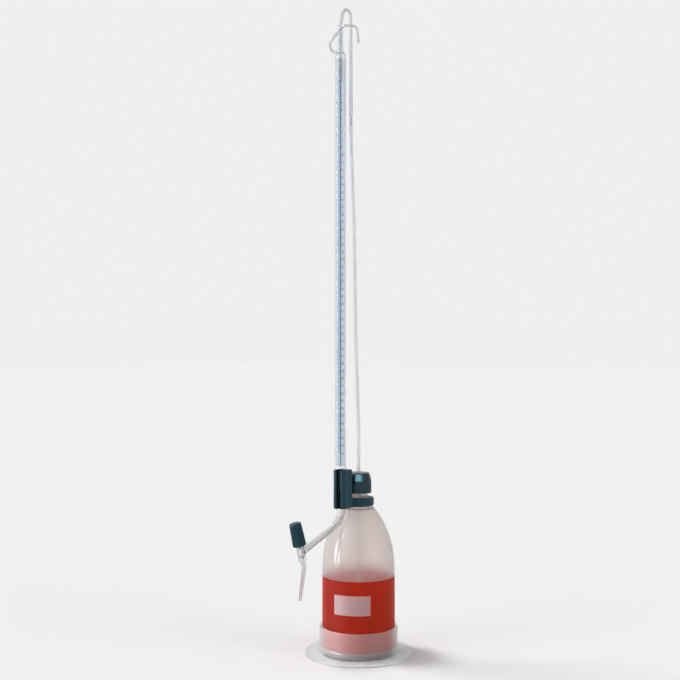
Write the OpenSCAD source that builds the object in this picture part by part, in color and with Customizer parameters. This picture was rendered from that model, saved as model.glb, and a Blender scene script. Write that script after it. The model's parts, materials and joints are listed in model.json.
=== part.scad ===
// Automatic burette: a squeeze bottle in a cup foot, with a 50 ml burette tube in a clip on its neck.
// Squeezing the bottle drives liquid up the riser and over the gooseneck. When the bottle is let go,
// the gooseneck sucks the surplus back down to its tip, which stands at the zero line.
// Frame: Z up, origin on the bench under the bottle axis, burette on the -X side. Sizes are in mm.

/* [Foot] */

// Radius of the foot's brim
brim_radius = 69; // [60:0.5:90]
// Height of the brim at its outer edge
brim_edge = 3; // [2:0.1:5]
// Height at which the brim runs into the cup wall
brim_rise = 9; // [6:0.5:14]
// Thickness of the brim's sheet
brim_sheet = 2.2; // [1.5:0.1:3]
// Height of the cup
cup_height = 36; // [25:0.5:60]
// Wall of the cup
cup_wall = 3.2; // [2:0.1:5]
// Floor of the cup, which the bottle stands on
cup_floor = 3; // [2:0.1:5]
// Gap between the cup and the bottle
cup_play = 0.8; // [0.5:0.1:2]

/* [Bottle] */

// Radius of the bottle
bottle_radius = 46.5; // [40:0.5:55]
// Wall of the bottle
bottle_wall = 1.6; // [1:0.1:2.5]
// Rounding of the bottle's bottom edge
bottle_corner = 7; // [4:0.5:12]
// Depth of the hollow pressed up into the bottle's bottom
bottom_hollow = 2.5; // [1:0.1:5]
// Height of the straight wall
straight_height = 109; // [90:1:160]
// Height of the rounded shoulder
shoulder_height = 78; // [60:1:100]
// Radius at the top of the shoulder
shoulder_top_radius = 18; // [16:0.5:24]
// Radius of the neck where the holder's collar sits
neck_radius = 12.3; // [10:0.1:16]
// Wall of the neck
neck_wall = 2; // [1.5:0.1:3]
// How far the bead that keeps the collar down stands out from the neck
bead_out = 0.9; // [0.4:0.1:2]
// Height of that bead
bead_height = 2.4; // [1.5:0.1:4]
// Length of the threaded neck above the bead
thread_length = 17; // [12:0.5:24]
// Height of a thread ridge above its root
thread_depth = 0.9; // [0.5:0.1:1.2]
// Rise of the cap's thread in one turn
cap_pitch = 4; // [3:0.5:6]

/* [Label] */

// Thickness of the label film
label_film = 0.25; // [0.1:0.05:0.4]
// Height of the label's lower edge above the bench
label_low = 11; // [10:0.5:30]
// Height of the label's upper edge above the bench
label_high = 100.5; // [85:0.5:105]
// Lower edge of the writing window
window_low = 58; // [40:0.5:65]
// Upper edge of the writing window
window_high = 83; // [70:0.5:84]
// Plan angle of the window's middle
window_turn = 208; // [180:1:240]
// Angle that the window spans
window_angle = 60; // [30:1:90]

/* [Cap] */

// Radius of the screw cap
cap_radius = 16.6; // [15:0.1:20]
// Height of the screw cap
cap_height = 25.6; // [24:0.1:34]
// Radius at the top of the cap's tapering crown
crown_radius = 14.3; // [11:0.1:15]
// Height of that crown
crown_height = 9.6; // [6:0.1:12]
// Number of grip grooves round the cap
cap_grooves = 36; // [12:1:48]
// Depth of a grip groove
cap_groove_depth = 0.45; // [0.2:0.05:0.8]
// Thickness of the sealing liner on the bottle's mouth
liner_thickness = 1.5; // [0.8:0.1:3]
// Radius of the soft seal where it passes through the cap
seal_radius = 4.2; // [3.6:0.1:6]
// How far the seal's lip stands out above the cap
seal_lip = 1.8; // [1:0.1:3]

/* [Holder] */

// Distance from the bottle axis to the burette axis
burette_offset = 36; // [35:0.5:42]
// Radius of the collar round the neck
collar_radius = 19.8; // [16.5:0.1:22]
// Height of the collar
collar_height = 10.4; // [7:0.1:14]
// Rounding of the collar's outer edges
collar_round = 1.8; // [0.5:0.1:3]
// Height of the clip that grips the burette
clip_height = 48.5; // [30:0.5:60]
// Wall of the clip round the burette
clip_wall = 1.8; // [1.6:0.1:3.5]
// Half width of the clip's block
clip_half_width = 8.6; // [7:0.1:11]
// Depth of the clip's block behind the burette axis
clip_back = 13; // [11:0.1:15]
// Width of the slot in the clip's mouth
slot_width = 6; // [5:0.1:9]
// Turn of the clip's mouth away from the -X direction
clip_turn = 20; // [0:1:25]
// Radius of the rounded lips beside the slot
lip_radius = 1.2; // [1:0.1:2.2]

/* [Burette tube] */

// Outer radius of the graduated tube
tube_radius = 7; // [6.7:0.05:8]
// Volume between the top and bottom lines of the scale, in ml
scale_volume = 50; // [25:1:60]
// Length of the scale, from the zero line to the last line
scale_length = 469; // [400:1:560]
// Height of the last line above the clip
scale_foot = 22; // [10:1:40]
// Length of the plain tube above the zero line
plain_top = 32; // [24:1:50]
// Outer radius of the narrow stretch under the clip
low_radius = 5.5; // [4.8:0.1:6.5]
// Wall of that stretch, and of the narrow glass tubes
glass_wall = 1.2; // [0.9:0.1:1.6]
// Outer radius of the neck at the head
head_radius = 4.1; // [3.5:0.1:5]
// Length of the neck at the head
head_length = 34; // [24:1:45]
// Width of the milk glass stripe, as an angle
stripe_angle = 130; // [60:1:160]
// Width of the coloured line on it, as an angle
line_angle = 10; // [8:1:50]
// Thickness of the stripe and of the line
stripe_film = 0.1; // [0.05:0.01:0.2]
// Plan angle of the scale, with the stripe opposite
scale_turn = 220; // [180:1:260]

/* [Gooseneck and vent] */

// Outer radius of the gooseneck
goose_radius = 2.2; // [1.8:0.1:2.4]
// Bore radius of the gooseneck
goose_bore = 1.2; // [0.8:0.1:1.4]
// Distance from the burette axis to the gooseneck's long leg
goose_span = 20.5; // [18:0.5:26]
// Radius of the gooseneck's top bend
goose_bend = 8.2; // [7:0.1:8.8]
// Slant of the leg that runs into the head
goose_slant = 16; // [8:1:24]
// Height of the gooseneck's bend above the head
goose_rise = 14.5; // [14:0.5:22]
// Length of the long leg below the bend
goose_leg = 138.5; // [110:0.5:180]
// Length of the drawn end that the riser is pushed over
goose_spigot = 12; // [6:0.5:13]
// Length of the drawn zero tip
goose_tip = 12; // [6:1:20]
// Outer radius of the vent tube
vent_radius = 1.75; // [1.5:0.05:2]
// Bore radius of the vent tube
vent_bore = 0.9; // [0.6:0.05:1.1]

/* [Riser] */

// Outer radius of the dip tube and the riser
riser_radius = 2.5; // [2.3:0.05:3]
// Bore radius of the dip tube and the riser
riser_bore = 1.75; // [1.5:0.05:1.9]
// Gap between the dip tube's lower end and the bottle's bottom
riser_gap = 6; // [3:0.5:15]
// Length of the upright riser above the raised cap
riser_stand = 27; // [5:1:60]

/* [Side arm and jet] */

// Turn of the side arm away from the -X direction
arm_turn = 27; // [0:1:60]
// Slope of the side arm below level
arm_slope = 34; // [25:1:45]
// Distance from the burette axis to the valve, level
arm_reach = 53.3; // [45:0.5:70]
// Outer radius of the side arm
arm_radius = 4; // [3.6:0.1:4.4]
// Radius of the bend under the burette tube
arm_bend = 9; // [7:0.5:12]
// Height from the clip's underside down to that bend
arm_drop = 11; // [10:0.5:14]
// Radius of the bend in the jet
jet_bend = 18; // [12:0.5:30]
// Turn of the jet back from the valve's axis
jet_turn = 20.5; // [10:0.5:25]
// Length of the tapering jet below its bend
jet_length = 36; // [25:0.5:60]
// Outer radius of the jet where it leaves the valve
jet_radius = 2.9; // [2.4:0.05:3.2]
// Outer radius at the jet's tip
jet_tip_radius = 1.9; // [1.2:0.05:2.2]
// Bore radius of the jet
jet_bore = 0.7; // [0.4:0.05:0.9]

/* [Valve] */

// Lean of the valve's axis, away from the burette
valve_lean = 12.6; // [0:0.1:20]
// Outer radius of the glass barrel
barrel_radius = 5.2; // [4.9:0.1:6]
// Bore radius of the barrel
barrel_bore = 3.4; // [3:0.05:3.6]
// Length of the barrel above the side arm
barrel_up = 24; // [20:0.5:28]
// Length of the barrel below the side arm
barrel_down = 9; // [8:0.5:14]
// Radius of the glass thread
barrel_thread = 5.8; // [5.4:0.05:6.6]
// Rise of the glass thread in one turn
valve_pitch = 1.5; // [1:0.1:2.5]
// Radius of the knob at its lower edge
knob_radius = 8.6; // [7.8:0.1:12]
// Radius of the knob at its top
knob_top_radius = 7.6; // [7.4:0.1:12]
// Length of the knob
knob_length = 29.5; // [28:0.5:40]
// Height of the knob's lower edge above the side arm's axis
knob_gap = 9.4; // [8.4:0.1:12]
// Number of finger grooves round the knob
knob_grooves = 12; // [6:1:20]
// Depth of a finger groove
knob_groove_depth = 0.8; // [0.3:0.05:1.2]
// Height of the spindle's snap head
head_height = 3; // [2:0.1:4]
// How far the snap head stands out
head_out = 0.75; // [0.4:0.05:1]

/* [Fits] */

// Radial clearance of the valve spindle in its barrel, and of the riser in its seal
slide_play = 0.05; // [0.02:0.01:0.1]
// Radial clearance of the collar on the neck
collar_play = 0.1; // [0.05:0.01:0.3]
// Radial clearance between a thread's ridges and the wall outside them
thread_play = 0.3; // [0.2:0.05:0.6]
// Clearance of faces that must not rub
face_gap = 0.3; // [0.2:0.05:0.6]

/* [Hidden] */

$fn = 72;

// Heights up the bottle
bottle_z = cup_floor;
shoulder_z = bottle_z + straight_height;
neck_z = shoulder_z + shoulder_height;
collar_z = neck_z + face_gap;
bead_z = collar_z + collar_height + face_gap;
thread_z = bead_z + bead_height;
mouth_z = thread_z + thread_length;
cap_z = thread_z + 3.2;
cap_ceiling_z = mouth_z + liner_thickness;
cap_top_z = cap_z + cap_height;
seal_top_z = cap_top_z + seal_lip;

// Shoulder arc: it leaves the straight wall upright and reaches the neck's root
shoulder_drop = bottle_radius - shoulder_top_radius;
shoulder_arc = (shoulder_drop * shoulder_drop + shoulder_height * shoulder_height) / (2 * shoulder_drop);

// Neck and cap radii
neck_bore = neck_radius - neck_wall;
thread_crest = neck_radius + 0.3;
thread_root = thread_crest - thread_depth;
cap_bore = thread_crest + thread_play;
seal_flange = neck_bore - 1.5;

// Heights up the burette
clip_z = collar_z;
clip_top_z = clip_z + clip_height;
scale_low_z = clip_top_z + scale_foot;
zero_z = scale_low_z + scale_length;
tube_top_z = zero_z + plain_top;
head_z = tube_top_z + 5;
head_top_z = head_z + head_length;
tube_bore = sqrt(scale_volume * 1000 / (PI * scale_length));
head_bore = head_radius - glass_wall;
low_bore = low_radius - glass_wall;
arm_bore = arm_radius - glass_wall;
elbow_z = clip_z - arm_drop;

// Gooseneck: top bend, slanted leg, small bend, upright leg down to the zero tip
goose_small_bend = 6;
goose_bend_z = head_top_z + goose_rise;
goose_end_x = goose_span - goose_bend - goose_bend * cos(goose_slant);
goose_slant_length = (goose_end_x - goose_small_bend * (1 - cos(goose_slant))) / sin(goose_slant);
goose_inner_z = goose_bend_z + goose_bend * sin(goose_slant)
    - goose_slant_length * cos(goose_slant) - goose_small_bend * sin(goose_slant);
goose_leg_low_z = goose_bend_z - goose_leg;
spigot_radius = riser_bore - slide_play;
riser_top_z = goose_leg_low_z + goose_spigot;
goose_legs = [
    [goose_leg - goose_spigot, goose_bend, 180 - goose_slant],
    [goose_slant_length, goose_small_bend, goose_slant],
    [goose_inner_z - zero_z - goose_tip, 0, 0]
];

// Dip tube and riser: they meet in the seal, at a height that stays inside it while the cap is unscrewed.
// The riser is upright through the cap's travel, then leans over to the gooseneck's leg.
riser_x = -burette_offset + goose_span;
cap_travel = 2 * cap_pitch;
dip_low_z = bottle_z + bottom_hollow + bottle_wall + riser_gap;
seal_low_z = mouth_z - 2;
riser_low_z = (seal_low_z + cap_travel + seal_top_z) / 2;
riser_lean_z = seal_top_z + cap_travel + riser_stand;

// Lean of the riser: three slants that grow, ease and grow again, joined by wide bends
riser_k = (riser_top_z - riser_lean_z) / 420;
riser_slant = -riser_x / (15.5 * riser_k);
slant_low = 3 * riser_slant;
slant_mid = 1.3 * riser_slant;
slant_high = 3.2 * riser_slant;
bend_low = 900 * riser_k;
bend_mid = 1200 * riser_k;
bend_top = 500 * riser_k;
run_low = 65 * riser_k;
run_mid = 110 * riser_k;
run_high = (-riser_x - bend_low * (1 - cos(slant_low)) - run_low * sin(slant_low)
    - bend_mid * (cos(slant_mid) - cos(slant_low)) - run_mid * sin(slant_mid)
    - bend_low * (cos(slant_mid) - cos(slant_high)) - bend_top * (1 - cos(slant_high))) / sin(slant_high);
riser_rise = bend_low * sin(slant_low) + run_low * cos(slant_low)
    + bend_mid * (sin(slant_low) - sin(slant_mid)) + run_mid * cos(slant_mid)
    + bend_low * (sin(slant_high) - sin(slant_mid)) + run_high * cos(slant_high) + bend_top * sin(slant_high);
riser_legs = [
    [riser_lean_z - riser_low_z, bend_low, slant_low],
    [run_low, bend_mid, slant_mid - slant_low],
    [run_mid, bend_low, slant_high - slant_mid],
    [run_high, bend_top, -slant_high],
    [riser_top_z - riser_lean_z - riser_rise, 0, 0]
];

// Vent tube: corners round the head's neck, as [across, back, up from its root, bend radius]
vent_turn = 310;
vent_route = [
    [-2, 1, 1.5, 0], [-11, 4, 0.8, 5], [-13.8, -1, 10, 6], [-8.5, -7, 17, 6],
    [4, -8.6, 31.7, 7], [21, -5.8, 31.7, 7], [22.6, -5, 11.2, 0]
];

// Side arm and valve, in the upright plane of the arm
arm_bend_angle = 90 - arm_slope;
arm_tangent = arm_bend * tan(arm_bend_angle / 2);
arm_root_z = elbow_z - 1 - arm_tangent;
valve_z = arm_root_z - arm_reach * tan(arm_slope);
arm_legs = [[1, arm_bend, arm_bend_angle], [arm_reach / cos(arm_slope) - arm_tangent, 0, 0]];
jet_legs = [[3, jet_bend, jet_turn], [2, 0, 0]];

// Valve, along its own axis from the side arm's axis
seat_top = -3;
seat_low = -7.5;
barrel_end = -barrel_down - 4;
needle_waist = 2.2;
spindle_radius = barrel_bore - slide_play;
ring_groove = spindle_radius - 1.05;
ring_section = (barrel_bore - 0.02 - ring_groove - 0.02) / 2;
ring_middle = ring_groove + 0.02 + ring_section;
ring_low = 9.5;
ring_high = 15;
knob_ceiling = barrel_up + 3;
head_low = knob_ceiling + 2;
knob_bore = barrel_thread + 0.2;
knob_top = knob_gap + knob_length;

// Node to build: "all", or one name from the list above

// Helpers for bent tubes. A tube is a list of legs, each [length, bend radius, bend angle].
// It starts at the origin going down, and a positive bend turns it towards +X.

// Each straight leg is thinner than its bends by this step and runs into them by this bite,
// so that no two faces of a tube only touch
seam_step = 0.02;
seam_bite = 0.3;

module elbow(bend, angle, radius) {
    mirror([angle < 0 ? 1 : 0, 0, 0]) translate([bend, 0, 0]) rotate([90, 0, 0]) rotate([0, 0, 180])
        rotate_extrude(angle = abs(angle)) translate([bend, 0]) circle(radius);
}

module past_elbow(bend, angle) {
    translate([sign(angle) * bend * (1 - cos(angle)), 0, -bend * sin(abs(angle))]) rotate([0, -angle, 0]) children();
}

// Solid rod along the legs, drawn out by over at both ends where it must cut through
module bent_rod(legs, radius, over = 0, i = 0) {
    length = legs[i][0];
    last = i == len(legs) - 1;
    top = i == 0 ? over : seam_bite;
    low = last ? over : seam_bite;
    translate([0, 0, -length - low]) cylinder(h = length + low + top, r = radius - seam_step);
    if (!last) translate([0, 0, -length]) {
        elbow(legs[i][1], legs[i][2], radius);
        past_elbow(legs[i][1], legs[i][2]) bent_rod(legs, radius, over, i + 1);
    }
}

// Frame at the lower end of the legs
module past_legs(legs, i = 0) {
    translate([0, 0, -legs[i][0]])
        if (i == len(legs) - 1) children();
        else past_elbow(legs[i][1], legs[i][2]) past_legs(legs, i + 1) children();
}

// Frame in which a tube that starts at the origin goes up, and bends towards -X
module going_up() {
    rotate([180, 0, 180]) children();
}

// Helpers for a tube through corners in space, each [x, y, z, bend radius]

function unit(v) = v / norm(v);
function spot(route, i) = [route[i][0], route[i][1], route[i][2]];
function way(route, i) = unit(spot(route, i + 1) - spot(route, i));
function turn(route, i) = acos(way(route, i - 1) * way(route, i));
function corner_cut(route, i) = i == 0 || i == len(route) - 1 ? 0 : route[i][3] * tan(turn(route, i) / 2);

// Frame at a place, with -Z along one direction and +X leaning towards another
module facing(place, along, towards) {
    z = -along;
    x = unit(towards - (towards * along) * along);
    y = cross(z, x);
    multmatrix([[x[0], y[0], z[0], place[0]], [x[1], y[1], z[1], place[1]], [x[2], y[2], z[2], place[2]]]) children();
}

module routed_rod(route, radius, over = 0) {
    last = len(route) - 1;
    for (i = [0:last - 1]) {
        along = way(route, i);
        start = corner_cut(route, i) - (i == 0 ? over : seam_bite);
        stop = norm(spot(route, i + 1) - spot(route, i)) - corner_cut(route, i + 1)
            + (i == last - 1 ? over : seam_bite);
        facing(spot(route, i) + along * start, along, [along[1], along[2], -along[0]])
            translate([0, 0, start - stop]) cylinder(h = stop - start, r = radius - seam_step);
    }
    for (i = [1:last - 1])
        facing(spot(route, i) - way(route, i - 1) * corner_cut(route, i), way(route, i - 1), way(route, i))
            elbow(route[i][3], turn(route, i), radius);
}

// Frames

module at_burette() {
    translate([-burette_offset, 0, 0]) children();
}

// Upright plane of the side arm: X points out along the arm
module at_arm() {
    at_burette() rotate([0, 0, 180 - arm_turn]) children();
}

// Valve axis, with the side arm's axis at its origin
module at_valve() {
    at_arm() translate([arm_reach, 0, valve_z]) rotate([0, valve_lean, 0]) children();
}

// Foot and bottle

module base_foot() {
    outer = bottle_radius + cup_play + cup_wall;
    color([0.86, 0.86, 0.88]) difference() {
        rotate_extrude() {
            polygon([[0, 0], [outer - 3, 0], [outer - 3, brim_rise - brim_sheet - 0.8], [outer, brim_rise - brim_sheet],
                [brim_radius - 4, brim_edge - 1.6], [brim_radius - 4, 0], [brim_radius - 1, 0],
                [brim_radius, 1], [brim_radius, brim_edge - 0.8], [brim_radius - 0.8, brim_edge],
                [outer + 5, brim_rise - 3], [outer + 1.2, brim_rise - 0.6], [outer, brim_rise + 2],
                [outer, cup_height - 1], [outer - 1, cup_height], [0, cup_height]]);
        }
        translate([0, 0, cup_floor]) cylinder(h = cup_height, r = bottle_radius + cup_play);
    }
}

module shoulder_outline(inset) {
    intersection() {
        translate([bottle_radius - shoulder_arc, shoulder_z]) circle(shoulder_arc - inset, $fn = 360);
        translate([0, shoulder_z - 0.5]) square([bottle_radius - inset, shoulder_height + 0.5]);
    }
}

module bottle_outline() {
    translate([0, bottle_z + bottle_corner]) square([bottle_radius, straight_height - bottle_corner]);
    translate([0, bottle_z]) square([bottle_radius - bottle_corner, bottle_corner + 1]);
    translate([bottle_radius - bottle_corner, bottle_z + bottle_corner]) circle(bottle_corner);
    shoulder_outline(0);
    translate([0, neck_z - 1]) square([neck_radius, bead_z - neck_z + 2]);
    translate([0, bead_z]) square([neck_radius + bead_out, bead_height]);
    translate([0, bead_z]) square([thread_root, mouth_z - bead_z]);
    for (turn = [0:2])
        translate([thread_root, thread_z + 4 + turn * cap_pitch])
            polygon([[-0.5, -1.5], [0, -1.3], [thread_depth, -0.4], [thread_depth, 0.4], [0, 1.3], [-0.5, 1.5]]);
}

module bottle_inside() {
    inner = bottle_radius - bottle_wall;
    corner = bottle_corner - bottle_wall;
    floor_z = bottle_z + bottle_wall + bottom_hollow;
    translate([0, floor_z + corner]) square([inner, shoulder_z - floor_z - corner]);
    translate([0, floor_z]) square([inner - corner, corner + 1]);
    translate([inner - corner, floor_z + corner]) circle(corner);
    intersection() {
        shoulder_outline(bottle_wall);
        square([bottle_radius, neck_z - 4]);
    }
    translate([0, neck_z - 12]) square([neck_bore, mouth_z - neck_z + 13]);
}

module bottle() {
    hollow = bottle_radius - bottle_corner - 3;
    color([0.88, 0.87, 0.86]) rotate_extrude() difference() {
        bottle_outline();
        bottle_inside();
        translate([0, bottle_z - 1])
            polygon([[0, 0], [hollow, 0], [hollow, 1], [hollow - 5, 1 + bottom_hollow], [0, 1 + bottom_hollow]]);
    }
}

// Sector of a thin band round the bottle
module band_sector(inner, outer, low, high, from, angle) {
    rotate([0, 0, from]) rotate_extrude(angle = angle) translate([inner, low]) square([outer - inner, high - low]);
}

module label_band() {
    inner = bottle_radius + 0.05;
    outer = inner + label_film;
    color([0.66, 0.16, 0.14]) difference() {
        rotate_extrude() translate([inner, label_low]) square([label_film, label_high - label_low]);
        band_sector(inner - 1, outer + 1, window_low, window_high, window_turn - window_angle / 2, window_angle);
    }
}

module writing_panel() {
    inner = bottle_radius + 0.05;
    edge = 0.3;
    color([0.93, 0.9, 0.92])
        band_sector(inner, inner + 0.6 * label_film, window_low + edge, window_high - edge,
            window_turn - window_angle / 2 + edge, window_angle - 2 * edge);
}

// Holder and cap

module collar_outline() {
    inner = neck_radius + collar_play;
    translate([inner, 0]) square([collar_radius - collar_round - inner, collar_height]);
    translate([inner, collar_round]) square([collar_radius - inner, collar_height - 2 * collar_round]);
    for (h = [collar_round, collar_height - collar_round])
        translate([collar_radius - collar_round, h]) circle(collar_round);
}

module clip_outline() {
    grip = tube_radius + 0.1;
    lip_reach = sqrt(pow(grip + lip_radius, 2) - pow(slot_width / 2 + lip_radius, 2));
    difference() {
        union() {
            circle(grip + clip_wall);
            translate([0, -clip_half_width]) square([clip_back, 2 * clip_half_width]);
        }
        rotate(clip_turn) translate([-2 * grip, -slot_width / 2 - lip_radius])
            square([2 * grip, slot_width + 2 * lip_radius]);
        circle(grip);
    }
    for (side = [-1, 1]) difference() {
        rotate(clip_turn) translate([-lip_reach, side * (slot_width / 2 + lip_radius)]) circle(lip_radius + 0.4);
        circle(grip);
    }
}

module burette_holder() {
    bridge = burette_offset - clip_back - neck_radius - collar_play;
    color([0.18, 0.29, 0.34]) {
        difference() {
            union() {
                translate([0, 0, collar_z]) rotate_extrude() collar_outline();
                translate([-burette_offset + clip_back - 1, -clip_half_width + 1.4, collar_z])
                    cube([bridge, 2 * clip_half_width - 2.8, collar_height]);
                at_burette() translate([0, 0, clip_z]) linear_extrude(clip_height) clip_outline();
            }
            translate([0, 0, collar_z - 1]) cylinder(h = collar_height + 2, r = neck_radius + collar_play);
        }
    }
}

module screw_cap() {
    color([0.16, 0.2, 0.23]) difference() {
        rotate_extrude() difference() {
            polygon([[0, cap_z], [cap_radius - 0.5, cap_z], [cap_radius, cap_z + 0.5], [cap_radius, cap_top_z - crown_height],
                [crown_radius, cap_top_z - 1.7], [crown_radius - 0.5, cap_top_z - 0.5],
                [crown_radius - 1.7, cap_top_z], [0, cap_top_z]]);
            translate([0, cap_z - 1]) square([cap_bore, cap_ceiling_z - cap_z + 1]);
            square([seal_radius, 2 * cap_top_z]);
        }
        for (i = [0:cap_grooves - 1]) rotate([0, 0, 360 * i / cap_grooves])
            translate([cap_radius + 0.8 - cap_groove_depth, 0, cap_z - 1])
                cylinder(h = cap_ceiling_z - cap_z - 0.5, r = 0.8, $fn = 24);
    }
}

module cap_seal() {
    body = seal_radius - 0.05;
    color([0.75, 0.75, 0.72]) rotate_extrude() difference() {
        union() {
            translate([0, seal_low_z]) square([seal_flange, cap_ceiling_z - seal_low_z - 0.05]);
            translate([0, mouth_z]) square([body, seal_top_z - mouth_z - 0.6]);
            translate([0, mouth_z]) square([body - 0.8, seal_top_z - mouth_z]);
        }
        translate([0, mouth_z - 5]) square([riser_radius + slide_play, seal_top_z - mouth_z + 10]);
    }
}

module cap_liner() {
    color([0.9, 0.9, 0.86]) rotate_extrude()
        translate([seal_flange + 0.1, mouth_z + 0.05]) square([thread_crest - seal_flange - 0.1, liner_thickness - 0.1]);
}

// Dip tube from the bottle's bottom into the seal, and riser from there up to the gooseneck

module dip_tube() {
    color([0.9, 0.92, 0.94]) translate([0, 0, dip_low_z]) difference() {
        cylinder(h = riser_low_z - dip_low_z, r = riser_radius - seam_step);
        translate([0, 0, -1]) cylinder(h = riser_low_z - dip_low_z + 2, r = riser_bore - seam_step);
    }
}

module riser_tube() {
    color([0.9, 0.92, 0.94]) translate([0, 0, riser_low_z]) going_up() difference() {
        bent_rod(riser_legs, riser_radius);
        bent_rod(riser_legs, riser_bore, 1);
    }
}

// Glass burette

module burette_tube() {
    color([0.75, 0.82, 0.88, 0.5]) difference() {
        at_burette() rotate_extrude() difference() {
            polygon([[0, elbow_z], [arm_radius, elbow_z], [low_radius, elbow_z + 4], [low_radius, clip_z - 2],
                [tube_radius, clip_z + 7], [tube_radius, tube_top_z], [tube_radius - 0.8, tube_top_z + 2.5],
                [head_radius, head_z], [head_radius, head_top_z - 1.5], [head_radius - 1, head_top_z], [0, head_top_z]]);
            polygon([[0, elbow_z - 1], [arm_bore, elbow_z - 1], [arm_bore, elbow_z], [low_bore, elbow_z + 4],
                [low_bore, clip_z - 2], [tube_bore, clip_z + 7], [tube_bore, tube_top_z],
                [tube_bore - 0.8, tube_top_z + 2], [head_bore, head_z - 0.8], [head_bore, head_top_z - 2.5],
                [goose_radius + 0.05, head_top_z - 1.8], [goose_radius + 0.05, head_top_z + 1], [0, head_top_z + 1]]);
        }
        at_vent() facing(spot(vent_route, 0), way(vent_route, 0), [0, 0, 1])
            translate([0, 0, -4]) cylinder(h = 4, r = vent_bore);
    }
}

// Sector of a thin film on the burette tube, opposite the scale, drawn out by over at both ends
module tube_film(inner, film, angle, over = 0) {
    low = clip_top_z + 4 - over;
    high = tube_top_z - 1 + over;
    at_burette() rotate([0, 0, scale_turn + 180 - angle / 2]) rotate_extrude(angle = angle)
        translate([inner, low]) square([film, high - low]);
}

// The line lies against the glass, in a groove of the backing, so it shows through the tube from the front
module stripe_backing() {
    color([0.95, 0.96, 0.98]) difference() {
        tube_film(tube_radius + 0.02, 2 * stripe_film, stripe_angle);
        tube_film(tube_radius - 1, 1.04 + stripe_film, line_angle + 0.4, 1);
    }
}

module stripe_line() {
    color([0.15, 0.3, 0.65]) tube_film(tube_radius + 0.02, stripe_film, line_angle);
}

// The gooseneck runs from its long leg over the top to the zero tip, with a drawn end for the riser
module gooseneck() {
    color([0.78, 0.86, 0.9, 0.5]) at_burette() difference() {
        union() {
            translate([goose_span, 0, riser_top_z]) going_up() bent_rod(goose_legs, goose_radius);
            translate([goose_span, 0, goose_leg_low_z]) cylinder(h = goose_spigot + seam_bite, r = spigot_radius);
            translate([0, 0, zero_z]) cylinder(h = goose_tip + seam_bite, r1 = goose_bore + 0.5,
                r2 = goose_radius - 2 * seam_step);
        }
        translate([goose_span, 0, riser_top_z]) going_up() bent_rod(goose_legs, goose_bore, 1);
        translate([goose_span, 0, goose_leg_low_z - 1]) cylinder(h = goose_spigot + 3, r = goose_bore - 2 * seam_step);
        translate([0, 0, zero_z - 1]) cylinder(h = goose_tip + 3, r = goose_bore - 2 * seam_step);
    }
}

module at_vent() {
    at_burette() translate([0, 0, head_z]) rotate([0, 0, vent_turn]) children();
}

module vent_tube() {
    color([0.78, 0.86, 0.9, 0.5]) at_vent() difference() {
        routed_rod(vent_route, vent_radius);
        routed_rod(vent_route, vent_bore, 1);
        translate([0, 0, -4]) cylinder(h = 20, r = head_radius + 0.02);
    }
}

module side_arm() {
    color([0.75, 0.82, 0.88, 0.5]) difference() {
        at_arm() translate([0, 0, elbow_z]) difference() {
            bent_rod(arm_legs, arm_radius);
            bent_rod(arm_legs, arm_bore, 1);
        }
        at_valve() translate([0, 0, -20]) cylinder(h = 40, r = barrel_radius + 0.02);
    }
}

// Valve and jet

module valve_barrel() {
    color([0.78, 0.86, 0.9, 0.5]) difference() {
        at_valve() rotate_extrude() difference() {
            union() {
                polygon([[0, barrel_end], [jet_radius, barrel_end], [barrel_radius, -barrel_down],
                    [barrel_radius, barrel_up - 0.6], [barrel_radius - 0.6, barrel_up], [0, barrel_up]]);
                for (ridge = [0:5]) translate([0, barrel_up - 2.5 - valve_pitch * ridge]) square([barrel_thread, valve_pitch / 2]);
            }
            polygon([[0, barrel_end - 1], [jet_bore, barrel_end - 1], [jet_bore, seat_low - 1], [0.8, seat_low],
                [barrel_bore, seat_top], [barrel_bore, barrel_up + 1], [0, barrel_up + 1]]);
        }
        at_arm() translate([arm_reach, 0, valve_z]) rotate([0, arm_slope - 90, 0])
            cylinder(h = barrel_radius + 4, r = arm_bore - 0.6);
    }
}

module jet_tip() {
    color([0.78, 0.86, 0.9, 0.5]) at_valve() translate([0, 0, barrel_end]) difference() {
        union() {
            bent_rod(jet_legs, jet_radius);
            past_legs(jet_legs) translate([0, 0, -jet_length])
                cylinder(h = jet_length + seam_bite, r1 = jet_tip_radius, r2 = jet_radius - 2 * seam_step);
        }
        bent_rod(jet_legs, jet_bore, 1);
        past_legs(jet_legs) translate([0, 0, -jet_length - 1])
            cylinder(h = jet_length + 2.5, r = jet_bore - 2 * seam_step);
    }
}

module valve_spindle() {
    color([0.95, 0.95, 0.95]) at_valve() rotate_extrude() difference() {
        polygon([[0, seat_low - 1.1], [0.35, seat_low - 1.1], [0.65, seat_low], [needle_waist, seat_low + 2.7],
            [needle_waist, 5], [spindle_radius, 6.5], [spindle_radius, head_low], [spindle_radius + head_out, head_low + 0.1],
            [spindle_radius + head_out, head_low + head_height - 0.8], [spindle_radius, head_low + head_height],
            [0, head_low + head_height]]);
        for (ring = [ring_low, ring_high]) translate([ring_groove, ring - 0.9]) square([3, 1.8]);
    }
}

module spindle_o_rings() {
    color([0.1, 0.1, 0.1]) at_valve() for (ring = [ring_low, ring_high])
        translate([0, 0, ring]) rotate_extrude() translate([ring_middle, 0]) circle(ring_section);
}

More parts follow.
